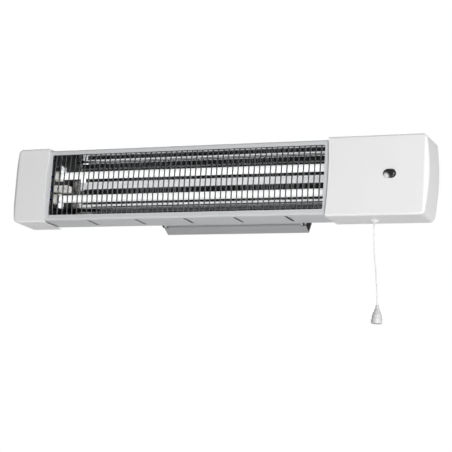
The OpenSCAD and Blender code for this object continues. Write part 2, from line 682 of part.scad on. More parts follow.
// The sheet's front edge turns up between the lugs, behind the pivot rod
module wall_bracket() {
    lip_x0 = lug_xs()[0] + lug_t + 1.5;
    lip_x1 = lug_xs()[1] - 1.5;
    color([0.62, 0.63, 0.64]) placed() difference() {
        union() {
            for (span = [[bracket_x0, lip_x0], [lip_x1, bracket_x1]])
                along_x(span[0], span[1]) sheet_profile(concat(bracket_line(), [apron_front]), -bracket_t);
            along_x(lip_x0 - eps, lip_x1 + eps) sheet_profile(concat(bracket_line(),
                bend(apron_low, apron_front, apron_lip_top, 2), [apron_lip_top]), -bracket_t);
        }
        for (s = wall_holes()) rod_y(wall_y - bracket_t - 1, wall_y + 1, s[0], s[1], wall_hole_d);
        for (s = cheek_rivet_spots()) rod_y(wall_y - bracket_t - 1, wall_y + 1, s[0], s[1], rivet_d);
    }
}

// Cheek at each end, with a flange riveted to the wall plate, the pivot's hole and the clamp's slot
module bracket_cheeks() {
    flange_y = wall_y - 2 * bracket_t;
    color([0.07, 0.07, 0.07]) placed() for (i = [0, 1]) {
        x = i > 0 ? bracket_x1 - bracket_t : bracket_x0;
        difference() {
            union() {
                along_x(x, x + bracket_t) polygon(cheek_line());
                translate([i > 0 ? bracket_x1 - cheek_flange : bracket_x0, flange_y, wall_plate_z0 + 1])
                    cube([cheek_flange, bracket_t, cheek_top - wall_plate_z0 - 1]);
            }
            rod_x(x - 1, x + bracket_t + 1, pivot[0], pivot[1], rod_d);
            clamp_slot(x - 1, x + bracket_t + 1);
            for (s = cheek_rivet_spots()) rod_y(flange_y - 1, flange_y + bracket_t + 1, s[0], s[1], rivet_d);
        }
    }
}
module cheek_rivets() {
    head_y = wall_y - 2 * bracket_t;
    color(bright) placed() for (s = cheek_rivet_spots()) {
        rod_y(head_y - rivet_head_t / 2, wall_y, s[0], s[1], rivet_d);
        rod_y(head_y - rivet_head_t, head_y, s[0], s[1], rivet_head_d);
    }
}
module pivot_rod() {
    color(bright) placed() {
        rod_x(bracket_x0 - 1.5, bracket_x1 + 1.5, pivot[0], pivot[1], rod_d);
        for (x = [bracket_x0 - 1.5, bracket_x1]) rod_x(x, x + 1.5, pivot[0], pivot[1], rod_d + 2.6);
    }
}

// Lug riveted to the casing's back, turning on the pivot rod and clamped through the cheek's slot
function lug_xs() = [bracket_x0 + bracket_t + fit_gap, bracket_x1 - bracket_t - fit_gap - lug_t];
function rivet_spots() = [for (i = [0, 1], z = [lug_foot_z + rivet_inset, lug_foot_z + lug_foot_h - rivet_inset])
    [lug_xs()[i] + (i > 0 ? -lug_flange / 2 : lug_t + lug_flange / 2), z]];
module tilt_lugs() {
    color(steel_grey) placed() for (i = [0, 1]) {
        x = lug_xs()[i];
        fx = i > 0 ? x - lug_flange : x + lug_t;
        difference() {
            union() {
                rod_x(x, x + lug_t, pivot[0], pivot[1], lug_eye_d);
                rod_x(x, x + lug_t, clamp_point[0], clamp_point[1], clamp_d + 6);
                along_x(x, x + lug_t) polygon([[case_y1, pivot[1]], [pivot[0] + 3.2, pivot[1] - 1.6],
                    [clamp_point[0] + 4.4, clamp_point[1] - 2.4], [clamp_point[0] + 1.5, clamp_point[1] + 4.7],
                    [case_y1, clamp_point[1] + 6]]);
                translate([fx - eps, case_y1, lug_foot_z]) cube([lug_flange + 2 * eps, lug_foot_t, lug_foot_h]);
            }
            rod_x(x - 1, x + lug_t + 1, pivot[0], pivot[1], rod_d + 2 * run_gap);
            rod_x(x - 1, x + lug_t + 1, clamp_point[0], clamp_point[1], clamp_d);
            for (s = rivet_spots()) rod_y(case_y1 - 1, case_y1 + lug_foot_t + 1, s[0], s[1], rivet_d);
        }
    }
}
module lug_rivets() {
    out_y = case_y1 + lug_foot_t;
    color(bright) placed() for (s = rivet_spots()) {
        rod_y(back_inner_y - rivet_head_t / 2, out_y + rivet_head_t / 2, s[0], s[1], rivet_d);
        rod_y(back_inner_y - rivet_head_t, back_inner_y, s[0], s[1], rivet_head_d);
        rod_y(out_y, out_y + rivet_head_t, s[0], s[1], rivet_head_d);
    }
}

// Tilt clamp on each side: screw from inside the lug, washer and hexagon nut outside the cheek
module each_clamp() {
    for (i = [0, 1]) translate([i > 0 ? lug_xs()[1] + lug_t : lug_xs()[0], clamp_point[0], clamp_point[1]])
        mirror([i > 0 ? 0 : 1, 0, 0]) rotate([0, 90, 0]) children();
}
module tilt_screws() {
    color(bright) placed() each_clamp() {
        translate([0, 0, -lug_t - 2.4]) cylinder(h = 2.4, d = clamp_d * 1.8, $fn = round_fn);
        translate([0, 0, -lug_t - 0.5]) cylinder(h = lug_t + 9.5, d = clamp_d, $fn = round_fn);
    }
}
module tilt_washers() {
    color(bright) placed() each_clamp() translate([0, 0, bracket_t + 2 * fit_gap]) difference() {
        cylinder(h = 1, d = clamp_d * 2.4, $fn = round_fn);
        translate([0, 0, -1]) cylinder(h = 3, d = clamp_d, $fn = round_fn);
    }
}
module tilt_nuts() {
    color(bright) placed() each_clamp() translate([0, 0, bracket_t + 2 * fit_gap + 1]) difference() {
        cylinder(h = 3.2, d = clamp_d * 2, $fn = 6);
        translate([0, 0, -1]) cylinder(h = 6, d = clamp_d, $fn = round_fn);
    }
}

// Lens of round ends: a rim outside the cap, a barrel through its wall and a front that bulges
module indicator_lens() {
    face_h = lens_h - lens_rim / 2;
    face_r = bow_radius(face_h, lens_rise - lens_flange_t);
    color([0.2, 0.18, 0.18]) placed() {
        obround(-lens_flange_t, 0, lens_x, lens_z, lens_w, lens_h);
        obround(-eps, cap_wall + 3, lens_x, lens_z, lens_w - 2 * lens_rim - 0.2, lens_h - 2 * lens_rim - 0.2);
        intersection() {
            obround(-lens_rise - 1, -lens_flange_t + eps, lens_x, lens_z, lens_w - lens_rim / 2, face_h);
            rod_x(lens_x - lens_w, lens_x + lens_w, face_r - lens_rise, lens_z, 2 * face_r);
        }
    }
}
module indicator_holder() {
    color(white) placed() difference() {
        obround(cap_wall, cap_wall + holder_l, lens_x, lens_z, lens_w - 0.6, lens_h - 0.6);
        obround(cap_wall - 1, cap_wall + 3.2, lens_x, lens_z, lens_w - 2 * lens_rim, lens_h - 2 * lens_rim);
        rod_y(cap_wall + 3, cap_wall + holder_l + 1, lens_x, lens_z, lamp_d + 0.2);
    }
}
module neon_lamp() {
    color([0.9, 0.6, 0.4]) placed() {
        rod_y(cap_wall + 6, cap_wall + holder_l, lens_x, lens_z, lamp_d);
        translate([lens_x, cap_wall + 6, lens_z]) sphere(d = lamp_d - 0.4, $fn = round_fn);
    }
}

function switch_screw_spots() = [[housing_x0 + 4, housing_z1 - 4], [housing_x1 - 4, housing_z1 - 4]];
module switch_housing() {
    back = back_inner_y;
    color([0.86, 0.86, 0.84]) placed() difference() {
        union() {
            translate([housing_x0, housing_y0, housing_z0])
                cube([housing_x1 - housing_x0, housing_y1 - housing_y0, housing_z1 - housing_z0]);
            for (s = switch_screw_spots()) rod_y(housing_y1 - 1, back, s[0], s[1], 6);
        }
        translate([housing_x0 + housing_t, housing_y0 - 1, housing_z0 + housing_t])
            cube([housing_x1 - housing_x0 - 2 * housing_t, housing_y1 - housing_y0 + 1 - housing_t,
            housing_z1 - housing_z0 - 2 * housing_t]);
        rod_z(housing_z0 - 1, housing_z0 + housing_t + 1, cord_x, cord_y, rod_plunger_d + 0.8);
        rod_y(housing_y1 - housing_t - 1, housing_y1 + 1, wheel_x, wheel_z, shaft_d + 2 * run_gap);
        for (s = switch_screw_spots()) rod_y(housing_y1 - 1, back + 1, s[0], s[1], 2.4);
        for (x = [wheel_x - 6, wheel_x + 6])
            rod_z(housing_z1 - housing_t - 1, housing_z1 + 1, x, cord_y + 6, 3);
    }
}
module switch_cover() {
    color([0.8, 0.8, 0.78]) placed() difference() {
        union() {
            translate([housing_x0, housing_y0 - 1.6, housing_z0])
                cube([housing_x1 - housing_x0, 1.6, housing_z1 - housing_z0]);
            translate([housing_x0 + housing_t + 0.1, housing_y0 - 1, housing_z0 + housing_t + 0.1])
                cube([housing_x1 - housing_x0 - 2 * housing_t - 0.2, 2,
                housing_z1 - housing_z0 - 2 * housing_t - 0.2]);
        }
        rod_y(housing_y0 - 1, housing_y0 + 3, wheel_x, wheel_z, shaft_d + 2 * run_gap);
    }
}

// Wheel with drive pins in front, contact drum behind and its shaft in both housing walls
module switch_wheel() {
    drum_y = wheel_y + wheel_t;
    color([0.3, 0.3, 0.32]) placed() {
        rod_y(wheel_y, drum_y, wheel_x, wheel_z, 2 * (pin_circle_r + wheel_pin_d / 2 + 0.4));
        rod_y(drum_y - 0.5, housing_y1 - housing_t - 0.4, wheel_x, wheel_z, 9);
        rod_y(housing_y0 - 0.6, housing_y1 - 0.2, wheel_x, wheel_z, shaft_d);
        for (k = [0:wheel_pins - 1]) {
            a = first_pin + k * step_angle;
            rod_y(wheel_y - 4.4, wheel_y + 0.5, wheel_x + pin_circle_r * cos(a), wheel_z + pin_circle_r * sin(a),
                wheel_pin_d);
        }
    }
}
module contact_blades() {
    y = wheel_y + wheel_t + 0.6;
    color([0.8, 0.6, 0.3]) placed() for (side = [-1, 1]) {
        x = wheel_x + side * (4.5 + fit_gap + 0.4);
        translate([x - 0.4, y, wheel_z - 5]) cube([0.8, 3, housing_z1 - housing_t - wheel_z + 5]);
        translate([min(x - 0.4, wheel_x + side * 6 - 0.9), y, housing_z1 - housing_t - 0.8])
            cube([abs(wheel_x + side * 6 - x) + 1.3, 3, 0.8]);
    }
}

// Sliding plunger: rod through the bush, collar for the spring, stem and the finger that drives a pin
module switch_plunger() {
    stem_y0 = wheel_y - 4;
    color([0.9, 0.88, 0.8]) placed() {
        rod_z(plunger_low, collar_z + 0.5, cord_x, cord_y, rod_plunger_d);
        rod_z(collar_z, collar_z + collar_t, cord_x, cord_y, collar_d);
        translate([cord_x - stem_w / 2, stem_y0, collar_z + collar_t - 0.5])
            cube([stem_w, 3.4, finger_z + 2 - collar_z - collar_t + 0.5]);
        translate([wheel_x + pin_circle_r * cos(first_pin) - 1.6, stem_y0, finger_z])
            cube([cord_x - wheel_x - pin_circle_r * cos(first_pin) + 1.6, 3.4, 2]);
    }
}
function coil_pts(r, z0, z1, turns, n) = [for (i = [0:turns * n]) [r * cos(360 * i / n),
    r * sin(360 * i / n), z0 + (z1 - z0) * i / (turns * n)]];
module return_spring() {
    z0 = housing_z0 + housing_t + spring_wire / 2 + 0.1;
    z1 = collar_z - spring_wire / 2 - 0.1;
    color(bright) placed() translate([cord_x, cord_y, 0])
        sweep(coil_pts((spring_d - spring_wire) / 2, z0, z1, spring_turns, 8), spring_wire, 6, [0, 0, 1]);
}

// Threaded bush through the cap's floor, held by a nut against a flange outside
module cord_bush() {
    color(white) placed() difference() {
        union() {
            rod_z(-2.2, 0, cord_x, cord_y, bush_flange_d);
            rod_z(-1, housing_z0, cord_x, cord_y, bush_outer);
            translate([cord_x, cord_y, bush_mouth])
                cylinder(h = -bush_mouth - 2.2, d1 = bush_outer - 2.4, d2 = bush_outer + 1, $fn = round_fn);
        }
        rod_z(bush_mouth - 1, housing_z0 + 1, cord_x, cord_y, bush_bore);
    }
}
module bush_nut() {
    color(bright) placed() difference() {
        translate([cord_x, cord_y, cap_wall]) cylinder(h = 3, d = bush_outer + 5, $fn = 6);
        rod_z(cap_wall - 1, cap_wall + 4, cord_x, cord_y, bush_outer + 2 * run_gap);
    }
}

module pull_cord() {
    route = [for (p = smooth(CORD_ROUTE, 2)) [cord_x + p[0], cord_y, plunger_low + p[1]]];
    color(white) placed() sweep(route, cord_d, 8, [0, 1, 0]);
}
// Bell knob, hollow below, with the cord's knot drawn up inside it
module cord_knob() {
    r = knob_d / 2;
    bore_r = cord_d / 2 + 0.2;
    skin = concat([[bore_r, 0], [2.1, 0]], [for (i = [0:8]) let (t = i / 8)
        [2.1 + (r - 0.7 - 2.1) * (1 - cos(180 * t)) / 2, -2 - (knob_h - 9) * t]],
        [[r, -knob_h + 4.6], [r, -knob_h + 1.2], [r - 0.9, -knob_h]]);
    hollow = [[r - 2, -knob_h], [r - 2.2, -knob_h + 5], [r - 2.9, -knob_h + 9], [bore_r, -knob_h + 11]];
    color(white) placed() translate([knob_x, cord_y, knob_z1])
        rotate_extrude($fn = round_fn) polygon(concat(skin, hollow));
}
module cord_knot() {
    color(white) placed() translate([knob_x, cord_y, knob_z1 - knob_h + 11 - 1.6]) sphere(d = 3.6, $fn = 32);
}

module terminal_block() {
    color([0.9, 0.9, 0.88]) placed() translate([block_x - block_size[0] / 2, block_y0, block_z - block_size[2] / 2])
        difference() {
            union() {
                cube([block_size[0], block_size[1], 4]);
                for (i = [0:2]) translate([0.6 + i * block_size[0] / 3, 0, 0])
                    cube([block_size[0] / 3 - 1.2, block_size[1], block_size[2]]);
            }
            for (i = [0:2]) {
                cx = (i + 0.5) * block_size[0] / 3;
                translate([cx, block_size[1] / 2, -1]) cylinder(h = block_size[2] + 2, d = 4, $fn = 24);
                translate([cx, -1, block_size[2] / 2 + 2]) rotate([-90, 0, 0]) cylinder(h = 4, d = 4.2, $fn = 24);
            }
        }
}
module terminal_screws() {
    color([0.8, 0.65, 0.35]) placed() for (i = [0:2]) {
        x = block_x - block_size[0] / 2 + (i + 0.5) * block_size[0] / 3;
        rod_y(block_y0 + 0.4, block_y0 + 3, x, block_z + 2, 4);
    }
}
module cable_grommet() {
    color([0.15, 0.15, 0.15]) placed() difference() {
        union() {
            rod_y(back_inner_y - 1.6, back_inner_y, entry_x, entry_z, grommet_d);
            rod_y(back_inner_y - 0.5, case_y1 + 0.5, entry_x, entry_z, grommet_d - 4);
            rod_y(case_y1, case_y1 + 1.6, entry_x, entry_z, grommet_d);
        }
        rod_y(back_inner_y - 3, case_y1 + 3, entry_x, entry_z, cable_bore_d);
    }
}
function clamp_screw_spots() = [for (s = [-1, 1]) [entry_x + s * 9, clamp_z]];
module cable_clamp() {
    color(white) placed() difference() {
        union() {
            translate([entry_x - 13, back_inner_y - 9, clamp_z - 4]) cube([26, 4, 8]);
            for (s = clamp_screw_spots()) rod_y(back_inner_y - 6, back_inner_y, s[0], s[1], 6);
        }
        for (s = clamp_screw_spots()) rod_y(back_inner_y - 12, back_inner_y + 1, s[0], s[1], 2.5);
    }
}
module clamp_screws() {
    color(bright) placed() for (s = clamp_screw_spots()) back_screw(s[0], s[1], case_y1, 8, 2.4);
}
module switch_screws() {
    color(bright) placed() for (s = switch_screw_spots()) back_screw(s[0], s[1], case_y1, 7, 2.3);
}
module earth_stud() {
    color([0.8, 0.65, 0.35]) placed() {
        rod_y(back_inner_y - 12, case_y1 + 0.5, earth_x, earth_z, earth_stud_d);
        rod_y(case_y1, case_y1 + 1.6, earth_x, earth_z, 2 * earth_stud_d);
    }
}
module earth_nut() {
    color([0.8, 0.65, 0.35]) placed() translate([earth_x, back_inner_y, earth_z]) rotate([90, 0, 0]) difference() {
        cylinder(h = 3, d = 2 * earth_stud_d, $fn = 6);
        translate([0, 0, -1]) cylinder(h = 5, d = earth_stud_d, $fn = 24);
    }
}

// Sleeved leads inside the caps, each starting just clear of its pin or stud
block_high_z = block_z + block_size[2] / 2;
pin_end_right = tube_x1 + pin_l + run_gap;
pin_end_left = tube_x0 - pin_l - run_gap;
blade_out = 6;
module upper_tube_lead() {
    x = wheel_x - blade_out;
    z = tube_zs[1];
    color([0.85, 0.2, 0.15]) placed() lead([[pin_end_right, tube_y, z], [pin_end_right + 6, tube_y, z],
        [pin_end_right + 14, tube_y + 4, z + 2], [x - 3, cord_y + 2, housing_z1 + 12],
        [x, cord_y + 6, housing_z1 + 6], [x, cord_y + 6, housing_z1]], lead_d);
}
module lower_tube_lead() {
    x = wheel_x + blade_out;
    z = tube_zs[0];
    color([0.85, 0.2, 0.15]) placed() lead([[pin_end_right, tube_y, z], [pin_end_right + 6, tube_y, z],
        [pin_end_right + 10, tube_y - 6, z + 14], [housing_x0 + 4, tube_y - 6, housing_z1 + 4],
        [x - 2, cord_y - 4, housing_z1 + 14], [x, cord_y + 6, housing_z1 + 7], [x, cord_y + 6, housing_z1]], lead_d);
}
// Place of each of three leads in the link block's hole, as y and z from its axis
function in_hole(k) = 1.45 * [cos(90 - 120 * k), sin(90 - 120 * k)];
module left_link_leads() {
    x = plate_left_x - 4;
    color([0.2, 0.3, 0.7]) placed() for (i = [0, 1]) {
        way = i > 0 ? 1 : -1;
        q = in_hole(i > 0 ? 0 : 2);
        lead([[pin_end_left, tube_y, tube_zs[i]], [x - 4, tube_y, tube_zs[i]],
            [x - 8, tube_y + q[0], tube_zs[i] - way * 6], [x - 5, tube_y + q[0], link_z + q[1] + way * 4],
            [x, tube_y + q[0], link_z + q[1]], [x + 3, tube_y + q[0], link_z + q[1]],
            [plate_left_x + 7, tube_y + q[0], link_z + q[1]]], lead_d);
    }
}
module neutral_return_lead() {
    q = in_hole(1);
    x = plate_left_x - 4;
    pole_x = block_x - block_size[0] / 3 - 0.6;
    pole_y = block_y0 + block_size[1] / 2;
    color([0.2, 0.3, 0.7]) placed() lead([[plate_left_x + 7, tube_y + q[0], link_z + q[1]],
        [x, tube_y + q[0], link_z + q[1]], [x - 5, tube_y + 6, link_z], [x - 8, tube_y + 16, mid_z],
        [x - 7, neutral_y - 6, mid_z], [x - 3, neutral_y, mid_z], [plate_left_x, neutral_y, mid_z],
        [plate_left_x + 30, neutral_y, mid_z], [mid_x, neutral_y, mid_z], [plate_right_x - 30, neutral_y, mid_z],
        [plate_right_x + 4, neutral_y, mid_z], [plate_right_x + 16, neutral_y - 3, mid_z + 6],
        [housing_x0 + 6, neutral_y - 8, housing_z1 + 20], [pole_x - 14, pole_y, block_high_z + 8],
        [pole_x - 1, pole_y, block_high_z + 7], [pole_x, pole_y, block_high_z], [pole_x, pole_y, block_high_z - 5]],
        lead_d);
}
module live_lead() {
    y = block_y0 + block_size[1] / 2;
    color([0.5, 0.3, 0.2]) placed() lead([[housing_x1 + run_gap, cord_y + 2, wheel_z + 6],
        [housing_x1 + 6, cord_y + 2, wheel_z + 6], [housing_x1 + 15, block_y0 - 5, wheel_z + 18],
        [block_x, block_y0 - 5, block_z - 4], [block_x + 2, block_y0 - 2, block_high_z + 6],
        [block_x, y - 1.5, block_high_z + 7], [block_x, y, block_high_z], [block_x, y, block_high_z - 5]], lead_d);
}
// One lead from the lamp to the neutral pole and one to the switch
module lamp_leads() {
    y = cap_wall + holder_l + run_gap;
    pole = [block_x - block_size[0] / 3 + 1.2, block_y0 + block_size[1] / 2];
    color([0.85, 0.85, 0.8]) placed() {
        lead([[lens_x + 1.6, y, lens_z], [lens_x + 1.6, y + 5, lens_z], [lens_x + 3, y + 12, lens_z + 20],
            [pole[0] + 2, block_y0 - 6, block_high_z], [pole[0], pole[1] - 3, block_high_z + 5],
            [pole[0], pole[1], block_high_z], [pole[0], pole[1], block_high_z - 5]], lamp_lead_d);
        lead([[lens_x - 1.6, y, lens_z], [lens_x - 1.6, y + 5, lens_z], [lens_x - 8, y + 10, lens_z - 3],
            [housing_x1 + 4, y + 10, housing_z1 - 8], [housing_x1 + run_gap, y + 10, housing_z1 - 8]], lamp_lead_d);
    }
}
module earth_lead() {
    x = block_x + block_size[0] / 3;
    y = block_y0 + block_size[1] / 2;
    stud_y = back_inner_y - 6;
    color([0.3, 0.6, 0.25]) placed() lead([[earth_x, stud_y, earth_z + earth_stud_d / 2 + run_gap],
        [earth_x, stud_y, earth_z + 6], [earth_x + 8, y + 3, block_high_z + 4.5],
        [x - 8, y + 3, block_high_z + 4.5], [x, y, block_high_z + 5], [x, y, block_high_z],
        [x, y, block_high_z - 5]], lead_d);
}

wall_bracket();
bracket_cheeks();
cheek_rivets();
pivot_rod();
casing();
back_plate();
back_plate_screws();
reflector();
end_plate_left();
end_plate_right();
wire_guard();
guard_rails();
guard_clips();
upper_quartz_tube();
lower_quartz_tube();
upper_heating_coil();
lower_heating_coil();
tube_ferrules();
ceramic_bushes();
tube_brackets();
link_block();
left_cap();
right_cap();
cap_screws();
end_plate_screws();
tilt_lugs();
lug_rivets();
tilt_screws();
tilt_washers();
tilt_nuts();
indicator_lens();
indicator_holder();
neon_lamp();
switch_housing();
switch_cover();
switch_wheel();
contact_blades();
switch_plunger();
return_spring();
cord_bush();
bush_nut();
pull_cord();
cord_knob();
cord_knot();
terminal_block();
terminal_screws();
cable_grommet();
cable_clamp();
clamp_screws();
earth_stud();
earth_nut();
upper_tube_lead();
lower_tube_lead();
left_link_leads();
neutral_return_lead();
live_lead();
lamp_leads();
earth_lead();
switch_screws();
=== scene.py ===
"""Finishes and detail pieces for the wall-hung quartz heater, laid out as a Blender add-on.

Every size is in metres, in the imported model's frame: x along the heater towards its switch,
y into the wall and z up. The heater's face looks towards -y.
"""

import json
import math

import bmesh
import bpy
from mathutils import Matrix, Vector


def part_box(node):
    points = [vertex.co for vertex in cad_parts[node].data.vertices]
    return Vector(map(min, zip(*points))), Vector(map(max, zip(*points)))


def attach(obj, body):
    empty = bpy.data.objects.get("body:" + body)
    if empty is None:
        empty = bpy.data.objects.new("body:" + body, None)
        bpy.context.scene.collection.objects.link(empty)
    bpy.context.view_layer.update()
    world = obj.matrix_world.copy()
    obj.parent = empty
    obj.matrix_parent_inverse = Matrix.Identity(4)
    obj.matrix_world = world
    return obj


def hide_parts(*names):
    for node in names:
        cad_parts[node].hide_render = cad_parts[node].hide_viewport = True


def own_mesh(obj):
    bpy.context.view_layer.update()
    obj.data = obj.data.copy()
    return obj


bl_info = {
    "name": "Quartz heater finishes",
    "version": (1, 0, 0),
    "blender": (4, 5, 0),
    "location": "3D View > Sidebar > Heater",
    "description": "Dresses the packed quartz heater and sets up its studio",
    "category": "Object",
}

MM = 0.001
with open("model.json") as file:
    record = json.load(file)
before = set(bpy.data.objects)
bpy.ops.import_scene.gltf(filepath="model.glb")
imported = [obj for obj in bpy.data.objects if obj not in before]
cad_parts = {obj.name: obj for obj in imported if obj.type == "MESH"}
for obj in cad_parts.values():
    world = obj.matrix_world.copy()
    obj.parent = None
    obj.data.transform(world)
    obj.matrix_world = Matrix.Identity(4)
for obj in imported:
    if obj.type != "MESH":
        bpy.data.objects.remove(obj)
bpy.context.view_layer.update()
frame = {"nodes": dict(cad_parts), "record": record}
NODES = frame["nodes"]

# Route of the pull cord from the switch, x and z in millimetres from the plunger's lower end
CORD_ROUTE = [(0, 3), (0, -6), (0, -14), (0.6, -24), (1, -34), (1.6, -44), (2.8, -54), (4.2, -64),
              (5.4, -74), (6.4, -84), (7.4, -94), (8.2, -104), (9, -116), (9.2, -122), (9.2, -134)]

# Plates inside the casing, given the cheeks' black: a dark sheet painted where there is only shade
PAINTED_SHADE_FINISH = {"end_plate_left": "cheek_black", "end_plate_right": "cheek_black"}

# Silicone sleeves of the leads
SLEEVES = {"red": (0.45, 0.02, 0.015, 1), "blue": (0.02, 0.05, 0.34, 1), "brown": (0.11, 0.045, 0.02, 1),
           "grey": (0.52, 0.52, 0.49, 1), "green": (0.03, 0.24, 0.03, 1)}

# Heads of the screws and rivets: their width over the shank's, and their height
SCREW_HEAD = (1.9, 1.6 * MM)
TILT_HEAD = (1.8, 2.4 * MM)
RIVET_HEAD = (6 / 3.2, 1 * MM)

# Nodes of alike fasteners: their body, the side that their heads face, the head and whether it is slotted
FASTENERS = {node: ("heater", "back", SCREW_HEAD, True) for node in (
    "cap_screws", "back_plate_screws", "end_plate_screws", "clamp_screws", "switch_screws")}
FASTENERS["tilt_screws"] = ("heater", "inward", TILT_HEAD, True)
FASTENERS["cheek_rivets"] = ("bracket", "front", RIVET_HEAD, False)

# Turns in degrees that bring a head from above to the side that it faces
HEAD_TURNS = {"back": (-90, 0, 0), "front": (90, 0, 0), "right": (0, 90, 0), "left": (0, -90, 0)}

# The bell knob's profile as radii and heights in millimetres. The neck's are plain radii, and heights from
# the knob's top. The skirt's and the hollow's are counted from the widest radius and from the knob's foot.
KNOB_BORE = 1.1
KNOB_NECK = [(KNOB_BORE, 0), (1.6, 0), (2.0, -0.2), (2.1, -0.7)]
KNOB_SKIRT = [(-0.25, 6.6), (0, 5.4), (0, 1.6), (-0.2, 0.6), (-0.8, 0)]
KNOB_HOLLOW = [(-1.8, 0), (-2.2, 1), (-2.6, 9)]
KNOB_HOLLOW_TOP = 11

# Soft edge of the lens's rim: how far inside its outline and how far behind its face
RIM_EDGE = [(0.0, 0.3 * MM), (0.1 * MM, 0.1 * MM), (0.35 * MM, 0.0)]

# Angle past which an edge between two faces is shaded as sharp
SHARP_ANGLE = math.radians(32)

# Points nearer than this are one point
MERGE = 0.001 * MM

# Studio lamps, which all point at the heater: place, size and power in watts
LAMPS = {
    "Key light": ((2.4, -2.9, 0.5), 2.0, 108.0),
    "Low light": ((1.1, -2.0, -1.6), 1.6, 34.0),
    "Back light": ((-1.6, 2.6, 1.4), 2.0, 56.0),
}
FLOOR_HALF = 5.0

# Point that the camera looks at, and its lens and sensor in millimetres
CAMERA_AIM = Vector((-0.0033, -0.044, -0.0441))
CAMERA_LENS, CAMERA_SENSOR = 121.43, 36.0

# Numbers of the colour sockets of a Mix node, which have the same names as its plain ones
MIX_FIRST, MIX_SECOND, MIX_RESULT = 6, 7, 2

# Sockets that the shared shader effects have in common
COLOUR_PAIR = [("Colour", "Color", (0.8, 0.8, 0.8, 1)), ("Shade", "Color", (0.7, 0.7, 0.7, 1))]
SURFACE = [("Colour", "Color"), ("Roughness", "Float"), ("Normal", "Vector")]


# Sizes and colours that a user may change

class HeaterSizes(bpy.types.PropertyGroup):
    coil_turns: bpy.props.IntProperty(
        name="Coil turns", description="Turns of resistance wire in each tube", default=170, min=20,
        max=400)
    coil_wire: bpy.props.FloatProperty(
        name="Coil wire", description="Diameter of the resistance wire", default=0.7 * MM, unit="LENGTH")
    cord_diameter: bpy.props.FloatProperty(
        name="Cord", description="Diameter of the pull cord", default=1.8 * MM, unit="LENGTH")
    cap_rounding: bpy.props.FloatProperty(
        name="Cap rounding", description="Rounding of the caps' outer end", default=7 * MM, unit="LENGTH")
    cap_edge_rounding: bpy.props.FloatProperty(
        name="Cap edge rounding", description="Rounding of the caps' long front edges", default=3 * MM,
        unit="LENGTH")
    cap_bow: bpy.props.FloatProperty(
        name="Cap bow", description="Outward bow of the caps' ends", default=4.5 * MM, unit="LENGTH")
    cap_edge_bow: bpy.props.FloatProperty(
        name="Cap edge bow", description="Bow of the caps' edges over the casing", default=2.5 * MM,
        unit="LENGTH")
    cap_wall: bpy.props.FloatProperty(
        name="Cap wall", description="Wall of the moulded caps", default=2.4 * MM, unit="LENGTH")
    spring_wire: bpy.props.FloatProperty(
        name="Spring wire", description="Wire of the switch's return spring", default=0.9 * MM,
        unit="LENGTH")
    spring_turns: bpy.props.IntProperty(
        name="Spring turns", description="Turns of the switch's return spring", default=7)
    pull_travel: bpy.props.FloatProperty(
        name="Pull travel", description="How far the cord and plunger move down", default=7.2 * MM,
        unit="LENGTH")
    rim_lip: bpy.props.FloatProperty(
        name="Rim lip", description="Thin lip of the caps' floor at its rim", default=0.7 * MM,
        unit="LENGTH")
    rim_depth: bpy.props.FloatProperty(
        name="Rim depth", description="How far the thin lip reaches in from the rim", default=6 * MM,
        unit="LENGTH")
    bush_hole: bpy.props.FloatProperty(
        name="Bush hole", description="Diameter of the hole in the right cap for the cord's bush",
        default=9.4 * MM, unit="LENGTH")
    screw_slot: bpy.props.FloatProperty(
        name="Screw slot", description="Width of the cross slots in the screw heads", default=0.7 * MM,
        unit="LENGTH")
    camera_distance: bpy.props.FloatProperty(
        name="Camera distance", description="From the camera to the point it looks at", default=2.0826,
        unit="LENGTH")
    camera_azimuth: bpy.props.FloatProperty(
        name="Camera azimuth", description="Turn of the camera towards the switch end",
        default=math.radians(23.21), subtype="ANGLE")
    camera_elevation: bpy.props.FloatProperty(
        name="Camera elevation", description="Height of the camera over the heater, below it where negative",
        default=math.radians(-11.23), subtype="ANGLE")
    camera_roll: bpy.props.FloatProperty(
        name="Camera roll", description="Lean of the picture", default=math.radians(3.73), subtype="ANGLE")
    floor_drop: bpy.props.FloatProperty(
        name="Floor drop", description="Height of the bracket over the floor", default=2.1, unit="LENGTH")


class HeaterColours(bpy.types.PropertyGroup):
    moulding: bpy.props.FloatVectorProperty(
        name="Moulding", description="White of the end caps", subtype="COLOR", size=4,
        default=(0.80, 0.80, 0.80, 1))
    # The knob's greyer white is painted shade: the caps' white moulding, darkened
    knob: bpy.props.FloatVectorProperty(
        name="Knob", description="White of the bell knob, greyed as painted shade", subtype="COLOR", size=4,
        default=(0.62, 0.62, 0.62, 1))
    casing: bpy.props.FloatVectorProperty(
        name="Casing", description="Grey-white paint of the steel casing", subtype="COLOR", size=4,
        default=(0.60, 0.61, 0.62, 1))
    bracket: bpy.props.FloatVectorProperty(
        name="Bracket", description="Grey powder coat of the wall bracket", subtype="COLOR", size=4,
        default=(0.36, 0.365, 0.37, 1))
    # The cheeks' black is painted shade: a dark sheet put where the bracket is only in shadow
    cheek: bpy.props.FloatVectorProperty(
        name="Cheeks", description="Black painted shade on the bracket's cheeks and end plates", subtype="COLOR", size=4,
        default=(0.006, 0.006, 0.006, 1))
    cord: bpy.props.FloatVectorProperty(
        name="Cord", description="Off-white of the pull cord", subtype="COLOR", size=4,
        default=(0.84, 0.84, 0.83, 1))


# Node helpers

def new_group(name, inputs, outputs, kind="ShaderNodeTree"):
    """An empty node group with named sockets, with its input and output nodes."""
    group = bpy.data.node_groups.new(name, kind)
    for socket_name, sort, value in inputs:
        socket = group.interface.new_socket(socket_name, in_out="INPUT", socket_type="NodeSocket" + sort)
        if value is not None:
            socket.default_value = value
    for socket_name, sort in outputs:
        group.interface.new_socket(socket_name, in_out="OUTPUT", socket_type="NodeSocket" + sort)
    return group, group.nodes.new("NodeGroupInput"), group.nodes.new("NodeGroupOutput")


